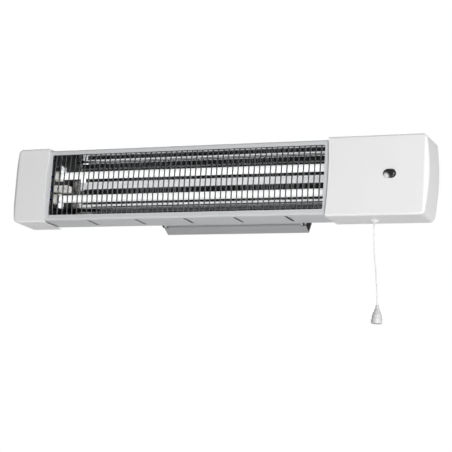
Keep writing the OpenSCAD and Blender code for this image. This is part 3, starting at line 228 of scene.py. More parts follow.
def wired(tree, node, inputs):
    """A node whose inputs are set to values or linked to other sockets; a list links them all to one."""
    for key, value in inputs.items():
        for item in value if isinstance(value, list) else [value]:
            if isinstance(item, bpy.types.NodeSocket):
                tree.links.new(item, node.inputs[key])
            else:
                node.inputs[key].default_value = item
    return node


def placed(tree, kind, inputs, **settings):
    """A new node with its settings made and its inputs wired."""
    node = tree.nodes.new(kind)
    for key, value in settings.items():
        setattr(node, key, value)
    return wired(tree, node, inputs)


def maths(tree, operation, *values):
    """Result of a sum on values or sockets."""
    return placed(tree, "ShaderNodeMath", dict(enumerate(values)), operation=operation).outputs["Value"]


def ranged(tree, value, start, end, low=0.0, high=1.0, kind="SMOOTHSTEP"):
    """A value brought from the range of start to end into the range of low to high."""
    node = placed(tree, "ShaderNodeMapRange", {
        "Value": value, "From Min": start, "From Max": end, "To Min": low, "To Max": high},
        interpolation_type=kind)
    return node.outputs["Result"]


def between(tree, share, first, second):
    """Colour between two others, by the second one's share."""
    inputs = {"Factor": share, MIX_FIRST: first, MIX_SECOND: second}
    return placed(tree, "ShaderNodeMix", inputs, data_type="RGBA").outputs[MIX_RESULT]


def object_place(tree):
    """Place of a shaded point in the frame of the heater."""
    return placed(tree, "ShaderNodeTexCoord", {}).outputs["Object"]


def noise(tree, place, scale, detail):
    """Smooth noise from 0 to 1."""
    node = placed(tree, "ShaderNodeTexNoise", {"Vector": place, "Scale": scale, "Detail": detail})
    return node.outputs["Fac"]


def bumped(tree, height, strength, distance):
    """Normal of a surface of uneven height."""
    node = placed(tree, "ShaderNodeBump", {"Height": height, "Strength": strength, "Distance": distance})
    return node.outputs["Normal"]


# Shared shader effects

def surface_grain_group():
    """Fine grain over a broad mottle, as on moulded plastic and paint."""
    tree, inp, out = new_group("Surface grain", COLOUR_PAIR + [
        ("Mottle scale", "Float", 30.0), ("Mottle amount", "Float", 0.5), ("Grain scale", "Float", 900.0),
        ("Grain depth", "Float", 0.1), ("Rough low", "Float", 0.3), ("Rough high", "Float", 0.5)], SURFACE)
    given = inp.outputs
    faint, strong = 0.3, 0.7
    place = object_place(tree)
    broad = noise(tree, place, given["Mottle scale"], detail=5.0)
    fine = noise(tree, place, given["Grain scale"], detail=2.0)
    spread = ranged(tree, broad, faint, strong, kind="LINEAR")
    mottle = maths(tree, "MULTIPLY", spread, given["Mottle amount"])
    wired(tree, out, {
        "Colour": between(tree, mottle, given["Colour"], given["Shade"]),
        "Roughness": ranged(tree, fine, 0.0, 1.0, given["Rough low"], given["Rough high"], "LINEAR"),
        "Normal": bumped(tree, fine, given["Grain depth"], distance=0.05 * MM)})
    return tree


def rolled_metal_group():
    """Long fine streaks along x left by rolling or drawing."""
    tree, inp, out = new_group("Rolled metal", COLOUR_PAIR + [
        ("Streaks", "Vector", (6.0, 900.0, 900.0)), ("Streak depth", "Float", 0.05),
        ("Rough low", "Float", 0.05), ("Rough high", "Float", 0.15)], SURFACE)
    given = inp.outputs
    drawn = placed(tree, "ShaderNodeVectorMath", {0: object_place(tree), 1: given["Streaks"]},
                   operation="MULTIPLY")
    streak = noise(tree, drawn.outputs["Vector"], 1.0, detail=4.0)
    wired(tree, out, {
        "Colour": between(tree, streak, given["Colour"], given["Shade"]),
        "Roughness": ranged(tree, streak, 0.0, 1.0, given["Rough low"], given["Rough high"], "LINEAR"),
        "Normal": bumped(tree, streak, given["Streak depth"], distance=0.02 * MM)})
    return tree


def braid_group():
    """Crossing strands of a braided cord, over the piece's own UV map."""
    tree, inp, out = new_group("Cord braid", COLOUR_PAIR + [
        ("Strands", "Float", 6.0), ("Picks", "Float", 90.0)], [("Colour", "Color"), ("Normal", "Vector")])
    given = inp.outputs
    uv = placed(tree, "ShaderNodeUVMap", {})
    split = placed(tree, "ShaderNodeSeparateXYZ", {"Vector": uv.outputs["UV"]})
    across = maths(tree, "MULTIPLY", split.outputs["X"], given["Strands"])
    along = maths(tree, "MULTIPLY", split.outputs["Y"], given["Picks"])
    strands = []
    for way in ("ADD", "SUBTRACT"):
        wave = maths(tree, "SINE", maths(tree, "MULTIPLY", maths(tree, way, across, along), math.pi))
        strands.append(maths(tree, "ABSOLUTE", wave))
    height = maths(tree, "MAXIMUM", *strands)
    wired(tree, out, {
        "Colour": between(tree, height, given["Shade"], given["Colour"]),
        "Normal": bumped(tree, height, 0.8, distance=0.15 * MM)})
    return tree


# Materials

def shade_of(colour, share):
    """A colour darkened to a share of itself."""
    return (colour[0] * share, colour[1] * share, colour[2] * share, 1)


def finish(name, group, values, sockets):
    """A material whose colour, roughness and normal come from a shared group."""
    made = bpy.data.materials.new(name)
    made.use_nodes = True
    tree = made.node_tree
    effect = placed(tree, "ShaderNodeGroup", values, node_tree=group).outputs
    shader = wired(tree, tree.nodes["Principled BSDF"], {
        "Base Color": effect["Colour"], "Normal": effect["Normal"], **sockets})
    if "Roughness" in effect:
        wired(tree, shader, {"Roughness": effect["Roughness"]})
    return made


def grained(name, group, colour, rough, share, mottle, scale, depth, **sockets):
    """Plastic, paint, ceramic or glass: rough is the least and the most, share is the mottle's shade."""
    return finish(name, group, {
        "Colour": colour, "Shade": shade_of(colour, share), "Mottle scale": mottle, "Grain scale": scale,
        "Grain depth": depth, "Rough low": rough[0], "Rough high": rough[1]},
        {key.replace("_", " "): value for key, value in sockets.items()})


def rolled(name, group, colour, rough, streaks, share, depth):
    """Metal with so many streaks per metre along x, y and z."""
    return finish(name, group, {
        "Colour": colour, "Shade": shade_of(colour, share), "Streaks": streaks, "Streak depth": depth,
        "Rough low": rough[0], "Rough high": rough[1]}, {"Metallic": 1.0})


def overlaid(made, colour, mask):
    """A material with another colour over its own where the mask is 1."""
    tree = made.node_tree
    base = tree.nodes["Principled BSDF"].inputs["Base Color"]
    tree.links.new(between(tree, mask, base.links[0].from_socket, colour), base)
    return made


def mirror_with_painted_reflection(roll):
    """Bright rolled aluminium, darker on its lower slope, where a dark reflection is painted into its
    colour.
    """
    made = rolled("Bright rolled aluminium with painted dark reflection", roll, (0.93, 0.935, 0.94, 1), (0.04, 0.09),
                  streaks=(5, 700, 700), share=0.97, depth=0.02)
    tree = made.node_tree
    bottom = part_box("reflector")[0].z
    # Painted reflection: the lower slope is darkened as though it mirrored the dark room
    painted_dark_top, painted_dark_full = bottom + 21 * MM, bottom + 19 * MM
    split = placed(tree, "ShaderNodeSeparateXYZ", {"Vector": object_place(tree)})
    mask = ranged(tree, split.outputs["Z"], painted_dark_top, painted_dark_full)
    return overlaid(made, (0.17, 0.17, 0.172, 1), mask)


def smoked_lens(grain):
    """Smoked plastic with a painted highlight: paler towards one lower corner."""
    made = grained("Smoked lens plastic with painted highlight", grain, (0.03, 0.028, 0.028, 1), (0.1, 0.16),
                   share=0.8, mottle=80, scale=900, depth=0.02)
    tree = made.node_tree
    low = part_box("indicator_lens")[0]
    # Painted highlight: a pale colour laid over the lens near its lower corner
    highlight_spot = (low.x + 3.5 * MM, low.y, low.z + 1.5 * MM)
    highlight_edge, highlight_core = 7 * MM, 2.5 * MM
    reach = placed(tree, "ShaderNodeVectorMath", {0: object_place(tree), 1: highlight_spot},
                   operation="DISTANCE")
    mask = ranged(tree, reach.outputs["Value"], highlight_edge, highlight_core)
    return overlaid(made, (0.72, 0.72, 0.71, 1), mask)


def pale_floor(grain):
    """Pale floor that the camera sees nearly white, fading to the white studio towards its edges."""
    made = grained("Pale floor", grain, (0.84, 0.84, 0.84, 1), (0.7, 0.85),
                   share=0.985, mottle=3, scale=60, depth=0.05)
    tree = made.node_tree
    fade_from, fade_to, near_white = 1.0, 4.8, 0.86
    reach = placed(tree, "ShaderNodeVectorMath", {0: object_place(tree)}, operation="LENGTH")
    rays = placed(tree, "ShaderNodeLightPath", {})
    share = maths(tree, "MULTIPLY", rays.outputs["Is Camera Ray"],
                  ranged(tree, reach.outputs["Value"], fade_from, fade_to, near_white, 1.0))
    white = placed(tree, "ShaderNodeEmission", {"Color": (1.0, 1.0, 1.0, 1)})
    mixed = placed(tree, "ShaderNodeMixShader", {
        "Fac": share, 1: tree.nodes["Principled BSDF"].outputs["BSDF"], 2: white.outputs["Emission"]})
    wired(tree, tree.nodes["Material Output"], {"Surface": mixed.outputs["Shader"]})
    return made


def make_materials(colours):
    """Every finish, under the name of its material slot or of its use."""
    grain, roll, braid = surface_grain_group(), rolled_metal_group(), braid_group()
    made = {
        "moulded_white": grained("Moulded white plastic", grain, tuple(colours.moulding), (0.44, 0.54),
                                 share=0.975, mottle=14, scale=1400, depth=0.12),
        "casing_paint": grained("Grey-white stove paint", grain, tuple(colours.casing), (0.3, 0.42),
                                share=0.96, mottle=12, scale=700, depth=0.15),
        # Painted shade: the caps' white moulding, greyed for the knob
        "knob_shaded_white": grained("Knob plastic with painted shade", grain, tuple(colours.knob), (0.3, 0.4),
                              share=0.95, mottle=40, scale=1400, depth=0.12),
        # Black painted shade for the bracket's cheeks and the casing's end plates, which are only in shadow
        "cheek_black": grained("Black painted shade", grain, tuple(colours.cheek), (0.45, 0.6),
                               share=0.8, mottle=30, scale=900, depth=0.2, Specular_IOR_Level=0.15),
        "bracket_paint": grained("Grey powder coat", grain, tuple(colours.bracket), (0.42, 0.6),
                                 share=0.92, mottle=20, scale=1100, depth=0.5),
        "mirror_sheet": mirror_with_painted_reflection(roll),
        # Plated wire whose near-black colour is a painted reflection of the dark room it mirrors
        "guard_chrome": rolled("Plated wire with painted dark reflection", roll, (0.10, 0.102, 0.106, 1), (0.32, 0.44),
                               streaks=(300, 300, 60), share=0.8, depth=0.03),
        "plated_steel": rolled("Zinc plated steel", roll, (0.62, 0.63, 0.65, 1), (0.22, 0.4),
                               streaks=(60, 500, 500), share=0.8, depth=0.1),
        "resistance_wire": rolled("Oxidised resistance wire", roll, (0.32, 0.29, 0.26, 1), (0.35, 0.55),
                                  streaks=(200, 200, 200), share=0.7, depth=0.1),
        "ceramic": grained("Steatite ceramic", grain, (0.84, 0.83, 0.79, 1), (0.45, 0.62),
                           share=0.94, mottle=60, scale=1500, depth=0.3),
        "smoked_lens": smoked_lens(grain),
        "switch_plastic": grained("Switch moulding", grain, (0.68, 0.68, 0.65, 1), (0.35, 0.5),
                                  share=0.95, mottle=40, scale=1200, depth=0.1),
        "dark_plastic": grained("Dark wheel moulding", grain, (0.04, 0.04, 0.045, 1), (0.35, 0.5),
                                share=0.8, mottle=60, scale=1200, depth=0.1),
        "contact_brass": rolled("Brass strip", roll, (0.60, 0.44, 0.17, 1), (0.25, 0.4),
                                streaks=(80, 500, 500), share=0.8, depth=0.1),
        "black_rubber": grained("Black rubber", grain, (0.02, 0.02, 0.02, 1), (0.55, 0.75),
                                share=0.7, mottle=60, scale=1500, depth=0.3),
        # Painted glow: the quartz gives off a white light of its own, brightening the tubes and their
        # reflections
        "quartz": grained("Milky fused quartz with painted glow", grain, (0.95, 0.95, 0.945, 1), (0.12, 0.2),
                          share=0.98, mottle=40, scale=500, depth=0.03, Transmission_Weight=0.06, IOR=1.46,
                          Emission_Strength=0.36, Emission_Color=(0.97, 0.98, 1.0, 1)),
        "lamp_glass": grained("Neon lamp glass", grain, (0.85, 0.45, 0.3, 1), (0.05, 0.1),
                              share=0.9, mottle=60, scale=500, depth=0.02, Transmission_Weight=0.7, IOR=1.5),
        "cord_white": finish("Braided cord", braid, {
            "Colour": tuple(colours.cord), "Shade": shade_of(colours.cord, 0.6)}, {"Roughness": 0.75}),
        "floor": pale_floor(grain),
    }
    for name, colour in SLEEVES.items():
        made[name + "_sleeve"] = grained(name.capitalize() + " silicone sleeve", grain, colour, (0.45, 0.6),
                                         share=0.9, mottle=60, scale=1500, depth=0.15)
    return made


MATERIALS = {}


def material(slot):
    """A finish by its name; all are made when the first is asked for."""
    if not MATERIALS:
        MATERIALS.update(make_materials(bpy.context.scene.heater_colours))
    return MATERIALS[slot]


# Mesh helpers

def in_scene(name, data):
    """A new object in the scene for a mesh, a lamp or a camera."""
    made = bpy.data.objects.new(name, data)
    bpy.context.scene.collection.objects.link(made)
    return made


def mesh_from(name, bm):
    """A mesh with the shape of a bmesh, which it uses up."""
    mesh = bpy.data.meshes.new(name)
    bm.normal_update()
    bm.to_mesh(mesh)
    bm.free()
    return mesh


def plain_mesh(holder):
    """Mesh of an object with its modifiers worked out; the object itself is removed."""
    graph = bpy.context.evaluated_depsgraph_get()
    mesh = bpy.data.meshes.new_from_object(holder.evaluated_get(graph), depsgraph=graph)
    bpy.data.objects.remove(holder)
    return mesh


def add_piece(name, bm, slot, body, replaced):
    """Turns a bmesh into a finished piece that rides on a body."""
    return dress(name, mesh_from(name, bm), slot, body, replaced)


def dress(name, mesh, slot, body, replaced):
    """Makes a mesh a piece with the finish of its slot, riding on its body, in place of the nodes that it
    stands for.
    """
    piece = in_scene(name, mesh)
    mesh.materials.clear()
    mesh.materials.append(material(slot))
    mesh.polygons.foreach_set("use_smooth", [True] * len(mesh.polygons))
    mesh.set_sharp_from_angle(angle=SHARP_ANGLE)
    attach(piece, body)
    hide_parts(*replaced)
    return piece


def lathe(bm, profile, centre, steps=64):
    """Closed turned body from (radius, height) points; ends on the axis are closed with a fan."""
    rings = []
    for radius, height in profile:
        turns = [2 * math.pi * k / steps for k in range(steps if radius > MERGE else 1)]
        rings.append([bm.verts.new(centre + Vector((radius * math.cos(a), radius * math.sin(a), height)))
                      for a in turns])
    faces = []
    for low, high in zip(rings, rings[1:]):
        for k in range(steps):
            n = (k + 1) % steps
            a, b = low[k % len(low)], low[n % len(low)]
            c, d = high[n % len(high)], high[k % len(high)]
            corners = [v for i, v in enumerate((a, b, c, d)) if v not in (a, b, c, d)[:i]]
            if len(corners) > 2:
                faces.append(bm.faces.new(corners))
    bmesh.ops.recalc_face_normals(bm, faces=faces)


def catmull(points, steps):
    """Points along a smooth line through the given ones."""
    out = []
    last = len(points) - 1
    for i in range(last):
        a, b = points[max(i - 1, 0)], points[i]
        c, d = points[i + 1], points[min(i + 2, last)]
        for k in range(steps):
            t = k / steps
            out.append(0.5 * ((2 * b) + (c - a) * t + (2 * a - 5 * b + 4 * c - d) * t * t
                              + (3 * b - a - 3 * c + d) * t ** 3))
    out.append(points[-1])
    return out


def tube(bm, points, radius, sides=12, side_way=Vector((0, 1, 0))):
    """A round tube along points with its own UV map: round it once across, centimetres along."""
    uv = bm.loops.layers.uv.new("UVMap")
    rings, lengths = [], [0.0]
    for i, p in enumerate(points):
        ahead = (points[min(i + 1, len(points) - 1)] - points[max(i - 1, 0)]).normalized()
        across = ahead.cross(side_way).normalized()
        up = ahead.cross(across)
        rings.append([bm.verts.new(p + radius * (math.cos(2 * math.pi * k / sides) * across
                                                 + math.sin(2 * math.pi * k / sides) * up))
                      for k in range(sides)])
        if i:
            lengths.append(lengths[-1] + (p - points[i - 1]).length)
    for i in range(len(rings) - 1):
        for k in range(sides):
            n = (k + 1) % sides
            face = bm.faces.new((rings[i][k], rings[i][n], rings[i + 1][n], rings[i + 1][k]))
            for loop, (u, v) in zip(face.loops, ((k, i), (k + 1, i), (k + 1, i + 1), (k, i + 1))):
                loop[uv].uv = (u / sides, lengths[v] / (10 * MM))
    bm.faces.new(list(reversed(rings[0])))
    bm.faces.new(rings[-1])


def middle(node):
    """Middle of a node's box."""
    low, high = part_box(node)
    return (low + high) / 2


def solid_boxes(node):
    """Box of each separate solid of a node, as low and high corners, in order of x and then z."""
    solid = NODES[node]
    mesh = bmesh.new()
    mesh.from_mesh(solid.data)
    mesh.transform(solid.matrix_world)
    bmesh.ops.remove_doubles(mesh, verts=mesh.verts[:], dist=MERGE)
    left, boxes = set(mesh.verts), []
    while left:
        group, edge = set(), [left.pop()]
        while edge:
            vert = edge.pop()
            group.add(vert)
            for link in vert.link_edges:
                other = link.other_vert(vert)
                if other in left:
                    left.discard(other)
                    edge.append(other)
        spots = [v.co for v in group]
        boxes.append((Vector([min(p[i] for p in spots) for i in range(3)]),
                      Vector([max(p[i] for p in spots) for i in range(3)])))
    mesh.free()
    return sorted(boxes, key=lambda box: (round(box[0].x, 5), round(box[0].z, 5)))


# Geometry nodes

def new_tree(name, inputs):
    """An empty geometry tree with named inputs; the first input and the output are geometry."""
    return new_group(name, [("Geometry", "Geometry", None)] + inputs, [("Geometry", "Geometry")],
                     "GeometryNodeTree")


def paint_and_end(tree, geometry, inp, out):
    """Ends a tree: instances made real, then the material set."""
    real = placed(tree, "GeometryNodeRealizeInstances", {"Geometry": geometry})
    paint = placed(tree, "GeometryNodeSetMaterial", {
        "Geometry": real.outputs["Geometry"], "Material": inp.outputs["Material"]})
    wired(tree, out, {"Geometry": paint.outputs["Geometry"]})


def coil_tree():
    """A wound heating coil: close turns of wire along x."""
    tree, inp, out = new_tree("Heating coil", [
        ("Turns", "Float", 100.0), ("Coil radius", "Float", 3 * MM), ("Coil length", "Float", 0.3),
        ("Wire radius", "Float", 0.3 * MM), ("Start", "Vector", (0, 0, 0)), ("Material", "Material", None)])
    given = inp.outputs
    points_a_turn, wire_sides = 12, 5
    spiral = placed(tree, "GeometryNodeCurveSpiral", {
        "Resolution": points_a_turn, "Rotations": given["Turns"], "Start Radius": given["Coil radius"],
        "End Radius": given["Coil radius"], "Height": given["Coil length"]})
    laid = placed(tree, "GeometryNodeTransform", {
        "Geometry": spiral.outputs["Curve"], "Rotation": (0, math.pi / 2, 0), "Translation": given["Start"]})
    profile = placed(tree, "GeometryNodeCurvePrimitiveCircle", {
        "Resolution": wire_sides, "Radius": given["Wire radius"]})
    wire = placed(tree, "GeometryNodeCurveToMesh", {
        "Fill Caps": True, "Curve": laid.outputs["Geometry"], "Profile Curve": profile.outputs["Curve"]})
    paint_and_end(tree, wire.outputs["Mesh"], inp, out)
    return tree


def vector(tree, **parts):
    """Vector from its parts X, Y and Z."""
    return placed(tree, "ShaderNodeCombineXYZ", parts).outputs["Vector"]


def moved(tree, geometry, shift):
    """Geometry moved by a vector."""
    node = placed(tree, "GeometryNodeTransform", {"Geometry": geometry, "Translation": shift})
    return node.outputs["Geometry"]


def turned_bar(tree, radius, depth, sides, rings):
    """Cylinder whose ends have rings of faces."""
    node = placed(tree, "GeometryNodeMeshCylinder", {
        "Vertices": sides, "Fill Segments": rings, "Radius": radius, "Depth": depth})
    return node.outputs["Mesh"]


def fastener_tree():
    """Domed screws or rivets on the points of a mesh, each turned by its point's own attribute."""
    tree, inp, out = new_tree("Fasteners", [
        ("Head radius", "Float", 2 * MM), ("Head height", "Float", 1.5 * MM),
        ("Shank radius", "Float", 1 * MM), ("Shank length", "Float", 6 * MM),
        ("Slot width", "Float", 0.6 * MM), ("Slotted", "Bool", True), ("Material", "Material", None)])
    given = inp.outputs
    head_r, head_h, slot_w = given["Head radius"], given["Head height"], given["Slot width"]
    half_h = maths(tree, "MULTIPLY", head_h, 0.5)
    shank_sides, head_sides, head_rings = 20, 32, 5
    shank = moved(tree, turned_bar(tree, given["Shank radius"], given["Shank length"], shank_sides, 1),
                  vector(tree, Z=maths(tree, "MULTIPLY", given["Shank length"], -0.5)))
    blank = moved(tree, turned_bar(tree, head_r, head_h, head_sides, head_rings), vector(tree, Z=half_h))

    spot = placed(tree, "GeometryNodeInputPosition", {})
    split = placed(tree, "ShaderNodeSeparateXYZ", {"Vector": spot.outputs["Position"]}).outputs
    squares = [maths(tree, "POWER", split[axis], 2.0) for axis in ("X", "Y")]
    out_share = maths(tree, "DIVIDE", maths(tree, "ADD", *squares), maths(tree, "POWER", head_r, 2.0))
    fall = maths(tree, "MULTIPLY", out_share, maths(tree, "MULTIPLY", head_h, -0.5))
    dome = placed(tree, "GeometryNodeSetPosition", {
        "Geometry": blank, "Selection": maths(tree, "GREATER_THAN", split["Z"], half_h),
        "Offset": vector(tree, Z=fall)}).outputs["Geometry"]

    long_share, deep_share = 1.25, 1.1
    slot_long = maths(tree, "MULTIPLY", head_r, long_share)
    slot_deep = maths(tree, "MULTIPLY", head_h, deep_share)
    bars = []
    for across in ({"X": slot_long, "Y": slot_w}, {"X": slot_w, "Y": slot_long}):
        bar = placed(tree, "GeometryNodeMeshCube", {"Size": vector(tree, Z=slot_deep, **across)})
        bars.append(moved(tree, bar.outputs["Mesh"], vector(tree, Z=head_h)))
    cut = placed(tree, "GeometryNodeMeshBoolean", {"Mesh 1": dome, "Mesh 2": bars}, operation="DIFFERENCE")
    head = placed(tree, "GeometryNodeSwitch", {
        "Switch": given["Slotted"], "False": dome, "True": cut.outputs["Mesh"]}, input_type="GEOMETRY")
    whole = placed(tree, "GeometryNodeJoinGeometry", {"Geometry": [shank, head.outputs["Output"]]})
    turn = placed(tree, "GeometryNodeInputNamedAttribute", {"Name": "turn"}, data_type="FLOAT_VECTOR")
    angles = placed(tree, "FunctionNodeEulerToRotation", {"Euler": turn.outputs["Attribute"]})
    copies = placed(tree, "GeometryNodeInstanceOnPoints", {
        "Points": given["Geometry"], "Instance": whole.outputs["Geometry"],
        "Rotation": angles.outputs["Rotation"]})
    paint_and_end(tree, copies.outputs["Instances"], inp, out)
    return tree


def grown(tree, values, start=None):
    """Runs a geometry node tree once, on a mesh if one is given, and returns its result as a plain mesh."""
    holder = in_scene("holder", start or bpy.data.meshes.new("holder"))
    modifier = holder.modifiers.new("Grow", "NODES")
    modifier.node_group = tree
    for socket in tree.interface.items_tree:
        if socket.item_type == "SOCKET" and socket.in_out == "INPUT" and socket.name in values:
            modifier[socket.identifier] = values[socket.name]
    return plain_mesh(holder)


# Operators

class HEATER_OT_finishes(bpy.types.Operator):
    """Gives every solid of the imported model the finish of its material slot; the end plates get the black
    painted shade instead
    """
    bl_idname = "heater.finishes"
    bl_label = "Finish the solids"

    def execute(self, context):
        for part in frame["record"]["subparts"]:
            solid = NODES[part["node"]]
            solid.data.materials.clear()
            # The end plates take the black painted shade in place of their own finish
            solid.data.materials.append(material(PAINTED_SHADE_FINISH.get(part["node"], part["material_slot"])))
        return {"FINISHED"}


class HEATER_OT_fasteners(bpy.types.Operator):
    """Sets domed screws with cross slots, and domed rivets, in place of the plain ones"""
    bl_idname = "heater.fasteners"
    bl_label = "Set the screws and rivets"

    def execute(self, context):
        slot_width = context.scene.heater_sizes.screw_slot
        tree = fastener_tree()
        for node, (body, side, (head_share, head_high), slotted) in FASTENERS.items():
            boxes = solid_boxes(node)
            along = 0 if side == "inward" else 1
            spots, turns = [], []
            for low, high in boxes:
                faces = side
                if side == "inward":
                    faces = "right" if low.x < middle(node).x else "left"
                spot = (low + high) / 2
                at_high = faces in ("back", "right")
                spot[along] = high[along] - head_high if at_high else low[along] + head_high
                spots.append(spot)
                turns.append([math.radians(a) for a in HEAD_TURNS[faces]])
            points = bpy.data.meshes.new("spots")
            points.from_pydata(spots, [], [])
            attribute = points.attributes.new("turn", "FLOAT_VECTOR", "POINT")
            for item, turn in zip(attribute.data, turns):
                item.vector = turn
            low, high = boxes[0]
            head_r = (high.z - low.z) / 2
            mesh = grown(tree, {
                "Head radius": head_r, "Head height": head_high, "Shank radius": head_r / head_share,
                "Shank length": high[along] - low[along] - head_high, "Slot width": slot_width,
                "Slotted": slotted, "Material": material("plated_steel")}, points)
            dress("domed_" + node, mesh, "plated_steel", body, (node,))
        return {"FINISHED"}


class HEATER_OT_coils(bpy.types.Operator):
    """Winds the resistance wire in each quartz tube"""
    bl_idname = "heater.coils"
    bl_label = "Wind the heating coils"

    def execute(self, context):
        sizes = context.scene.heater_sizes
        tree = coil_tree()
        for node in ("upper_heating_coil", "lower_heating_coil"):
            low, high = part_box(node)
            centre = (low + high) / 2
            free_end = 8 * MM
            radius = (high.z - low.z) / 2 - sizes.coil_wire / 2
            mesh = grown(tree, {
                "Turns": float(sizes.coil_turns), "Coil radius": radius,
                "Coil length": high.x - low.x - 2 * free_end, "Wire radius": sizes.coil_wire / 2,
                "Start": (low.x + free_end, centre.y, centre.z), "Material": material("resistance_wire")})
            dress(node.replace("heating", "wound"), mesh, "resistance_wire", "heater", (node,))
        return {"FINISHED"}


def bow_radius(chord, bow):
    """Radius of the arc over a chord with a given bow."""
    return (chord ** 2 / 4 + bow ** 2) / (2 * bow)


def cap_line(width, low_z, high_z, corner, bow, steps=10):
    """Line round a cap's front: along below, round the bowed end and back above; the end lies at 0."""
    middle_z, half = (low_z + high_z) / 2, (high_z - low_z) / 2
    radius = bow_radius(high_z - low_z, bow)
    lean = math.asin((half - corner) / (radius - corner))
    corner_x = radius - (radius - corner) * math.cos(lean)
    line = [(width * (1 - k / steps) + corner_x * k / steps, low_z) for k in range(steps)]
    for side in (-1, 1):
        turns = [math.pi / 2 - (math.pi / 2 - lean) * k / steps for k in range(steps + 1)]
        bend = [(corner_x - corner * math.cos(a), middle_z + side * (half - corner + corner * math.sin(a)))
                for a in turns]
        line += bend if side < 0 else reversed(bend)
        if side < 0:
            line += [(radius - radius * math.cos(a), middle_z + radius * math.sin(a))
                     for a in [lean * (2 * k / steps - 1) for k in range(1, steps)]]
    line += [(width * k / steps + corner_x * (1 - k / steps), high_z) for k in range(1, steps + 1)]
    return line


def soft_max(a, b, blend):
    """The larger of two values, with a soft change from one to the other."""
    return (a + b + math.sqrt((a - b) ** 2 + blend ** 2)) / 2


def cap_shell(node, end_at_low, sizes):
    """Skin of an end cap as rings from the back to the front, drawn in by its edges' roundings."""
    low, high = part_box(node)
    width, steps = high.x - low.x, 12
    flat_ring, blend_share = 1.2 * MM, 0.3
    bm = bmesh.new()

    def drawn_in(radius, deep):
        return radius - math.sqrt(max(radius ** 2 - (radius - deep) ** 2, 0)) if deep < radius else 0.0

    def spot(x, y, z):
        return bm.verts.new((low.x + x if end_at_low else high.x - x, y, z))

    def edge_x(z):
        reach = bow_radius(high.z - low.z, sizes.cap_edge_bow)
        off = z - (low.z + high.z) / 2
        return width - sizes.cap_edge_bow + reach - math.sqrt(reach ** 2 - off ** 2)

    depths = [high.y, low.y + 2 * sizes.cap_rounding]
    turns = [math.pi / 2 * k / steps for k in range(steps + 1)]
    depths += [low.y + sizes.cap_rounding * (1 - math.sin(a)) for a in turns]
    rings = []
    for y in depths + [low.y]:
        # The last ring lies on the flat front, inside the roundings
        further = flat_ring if len(rings) == len(depths) else 0
        side = drawn_in(sizes.cap_rounding, y - low.y) + further
        edge = drawn_in(sizes.cap_edge_rounding, y - low.y) + further
        line = cap_line(width, low.z + edge, high.z - edge, sizes.cap_rounding, sizes.cap_bow)
        ring = [spot(min(soft_max(x, side, blend_share * side), edge_x(z)), y, z) for x, z in line]
        rings.append(ring)
    for a, b in zip(rings, rings[1:]):
        for k in range(len(a) - 1):
            bm.faces.new((a[k], a[k + 1], b[k + 1], b[k]))
    rows = 20
    first, last = rings[-1][0].co.z, rings[-1][-1].co.z
    zs = [first + (last - first) * k / rows for k in range(1, rows)]
    edge = [spot(edge_x(z), low.y, z) for z in reversed(zs)]
    bm.faces.new(rings[-1] + edge)
    bmesh.ops.recalc_face_normals(bm, faces=bm.faces[:])
    front = min(bm.faces, key=lambda f: f.calc_center_median().y)
    if front.normal.y > 0:
        bmesh.ops.reverse_faces(bm, faces=bm.faces[:])
    return bm


def thickened(bm, wall, cutters):
    """Plain mesh of a skin given a wall on its inner side, less what the cutters take from it."""
    holder = in_scene("skin", mesh_from("skin", bm))
    solid = holder.modifiers.new("Wall", "SOLIDIFY")
    solid.thickness = wall
    solid.offset = -1.0
    solid.use_even_offset = True
    cut = holder.modifiers.new("Cut", "BOOLEAN")
    cut.operation = "DIFFERENCE"
    cut.solver = "EXACT"
    cut.object = cutters
    walled = plain_mesh(holder)
    bpy.data.objects.remove(cutters)
    return walled


def cap_cutters(node, end_at_low, sizes):
    """Bars that thin the floor's rim under the casing and cut the cord bush's hole in the right cap."""
    low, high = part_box(node)
    bm = bmesh.new()
    rim_x, way = (high.x, -1) if end_at_low else (low.x, 1)
    past = 1 * MM
    front = low.y + 2 * sizes.cap_edge_rounding
    span = Vector((sizes.rim_depth + past, high.y + past - front, sizes.cap_wall))
    place = Vector((rim_x + way * (sizes.rim_depth - past) / 2, (front + high.y + past) / 2,
                    low.z + sizes.rim_lip + sizes.cap_wall / 2))
    bmesh.ops.create_cube(bm, size=1.0, matrix=Matrix.Translation(place) @ Matrix.Diagonal(span.to_4d()))
    if not end_at_low:
        centre = middle("cord_bush")
        radius, tall = sizes.bush_hole / 2, 3 * sizes.cap_wall
        lathe(bm, [(0.0, 0.0), (radius, 0.0), (radius, tall), (0.0, tall)],
              Vector((centre.x, centre.y, low.z - sizes.cap_wall)))
    return in_scene("cutters", mesh_from("cutters", bm))


class HEATER_OT_caps(bpy.types.Operator):
    """Moulds the two end caps with their bowed ends and soft edges"""
    bl_idname = "heater.caps"
    bl_label = "Mould the end caps"

    def execute(self, context):
        sizes = context.scene.heater_sizes
        for node, end_at_low in (("left_cap", True), ("right_cap", False)):
            cutters = cap_cutters(node, end_at_low, sizes)
            walled = thickened(cap_shell(node, end_at_low, sizes), sizes.cap_wall, cutters)
            dress("moulded_" + node, walled, "moulded_white", "heater", (node,))
        return {"FINISHED"}


def round_ended(half_w, half_h, steps=12):
    """Points of a bar's outline with round ends, as x and z from its middle."""
    points = []
    for side, start in ((1, -90), (-1, 90)):
        for k in range(steps + 1):
            a = math.radians(start + 180 * k / steps)
            points.append((side * (half_w - half_h) + half_h * math.cos(a), half_h * math.sin(a)))
    return points


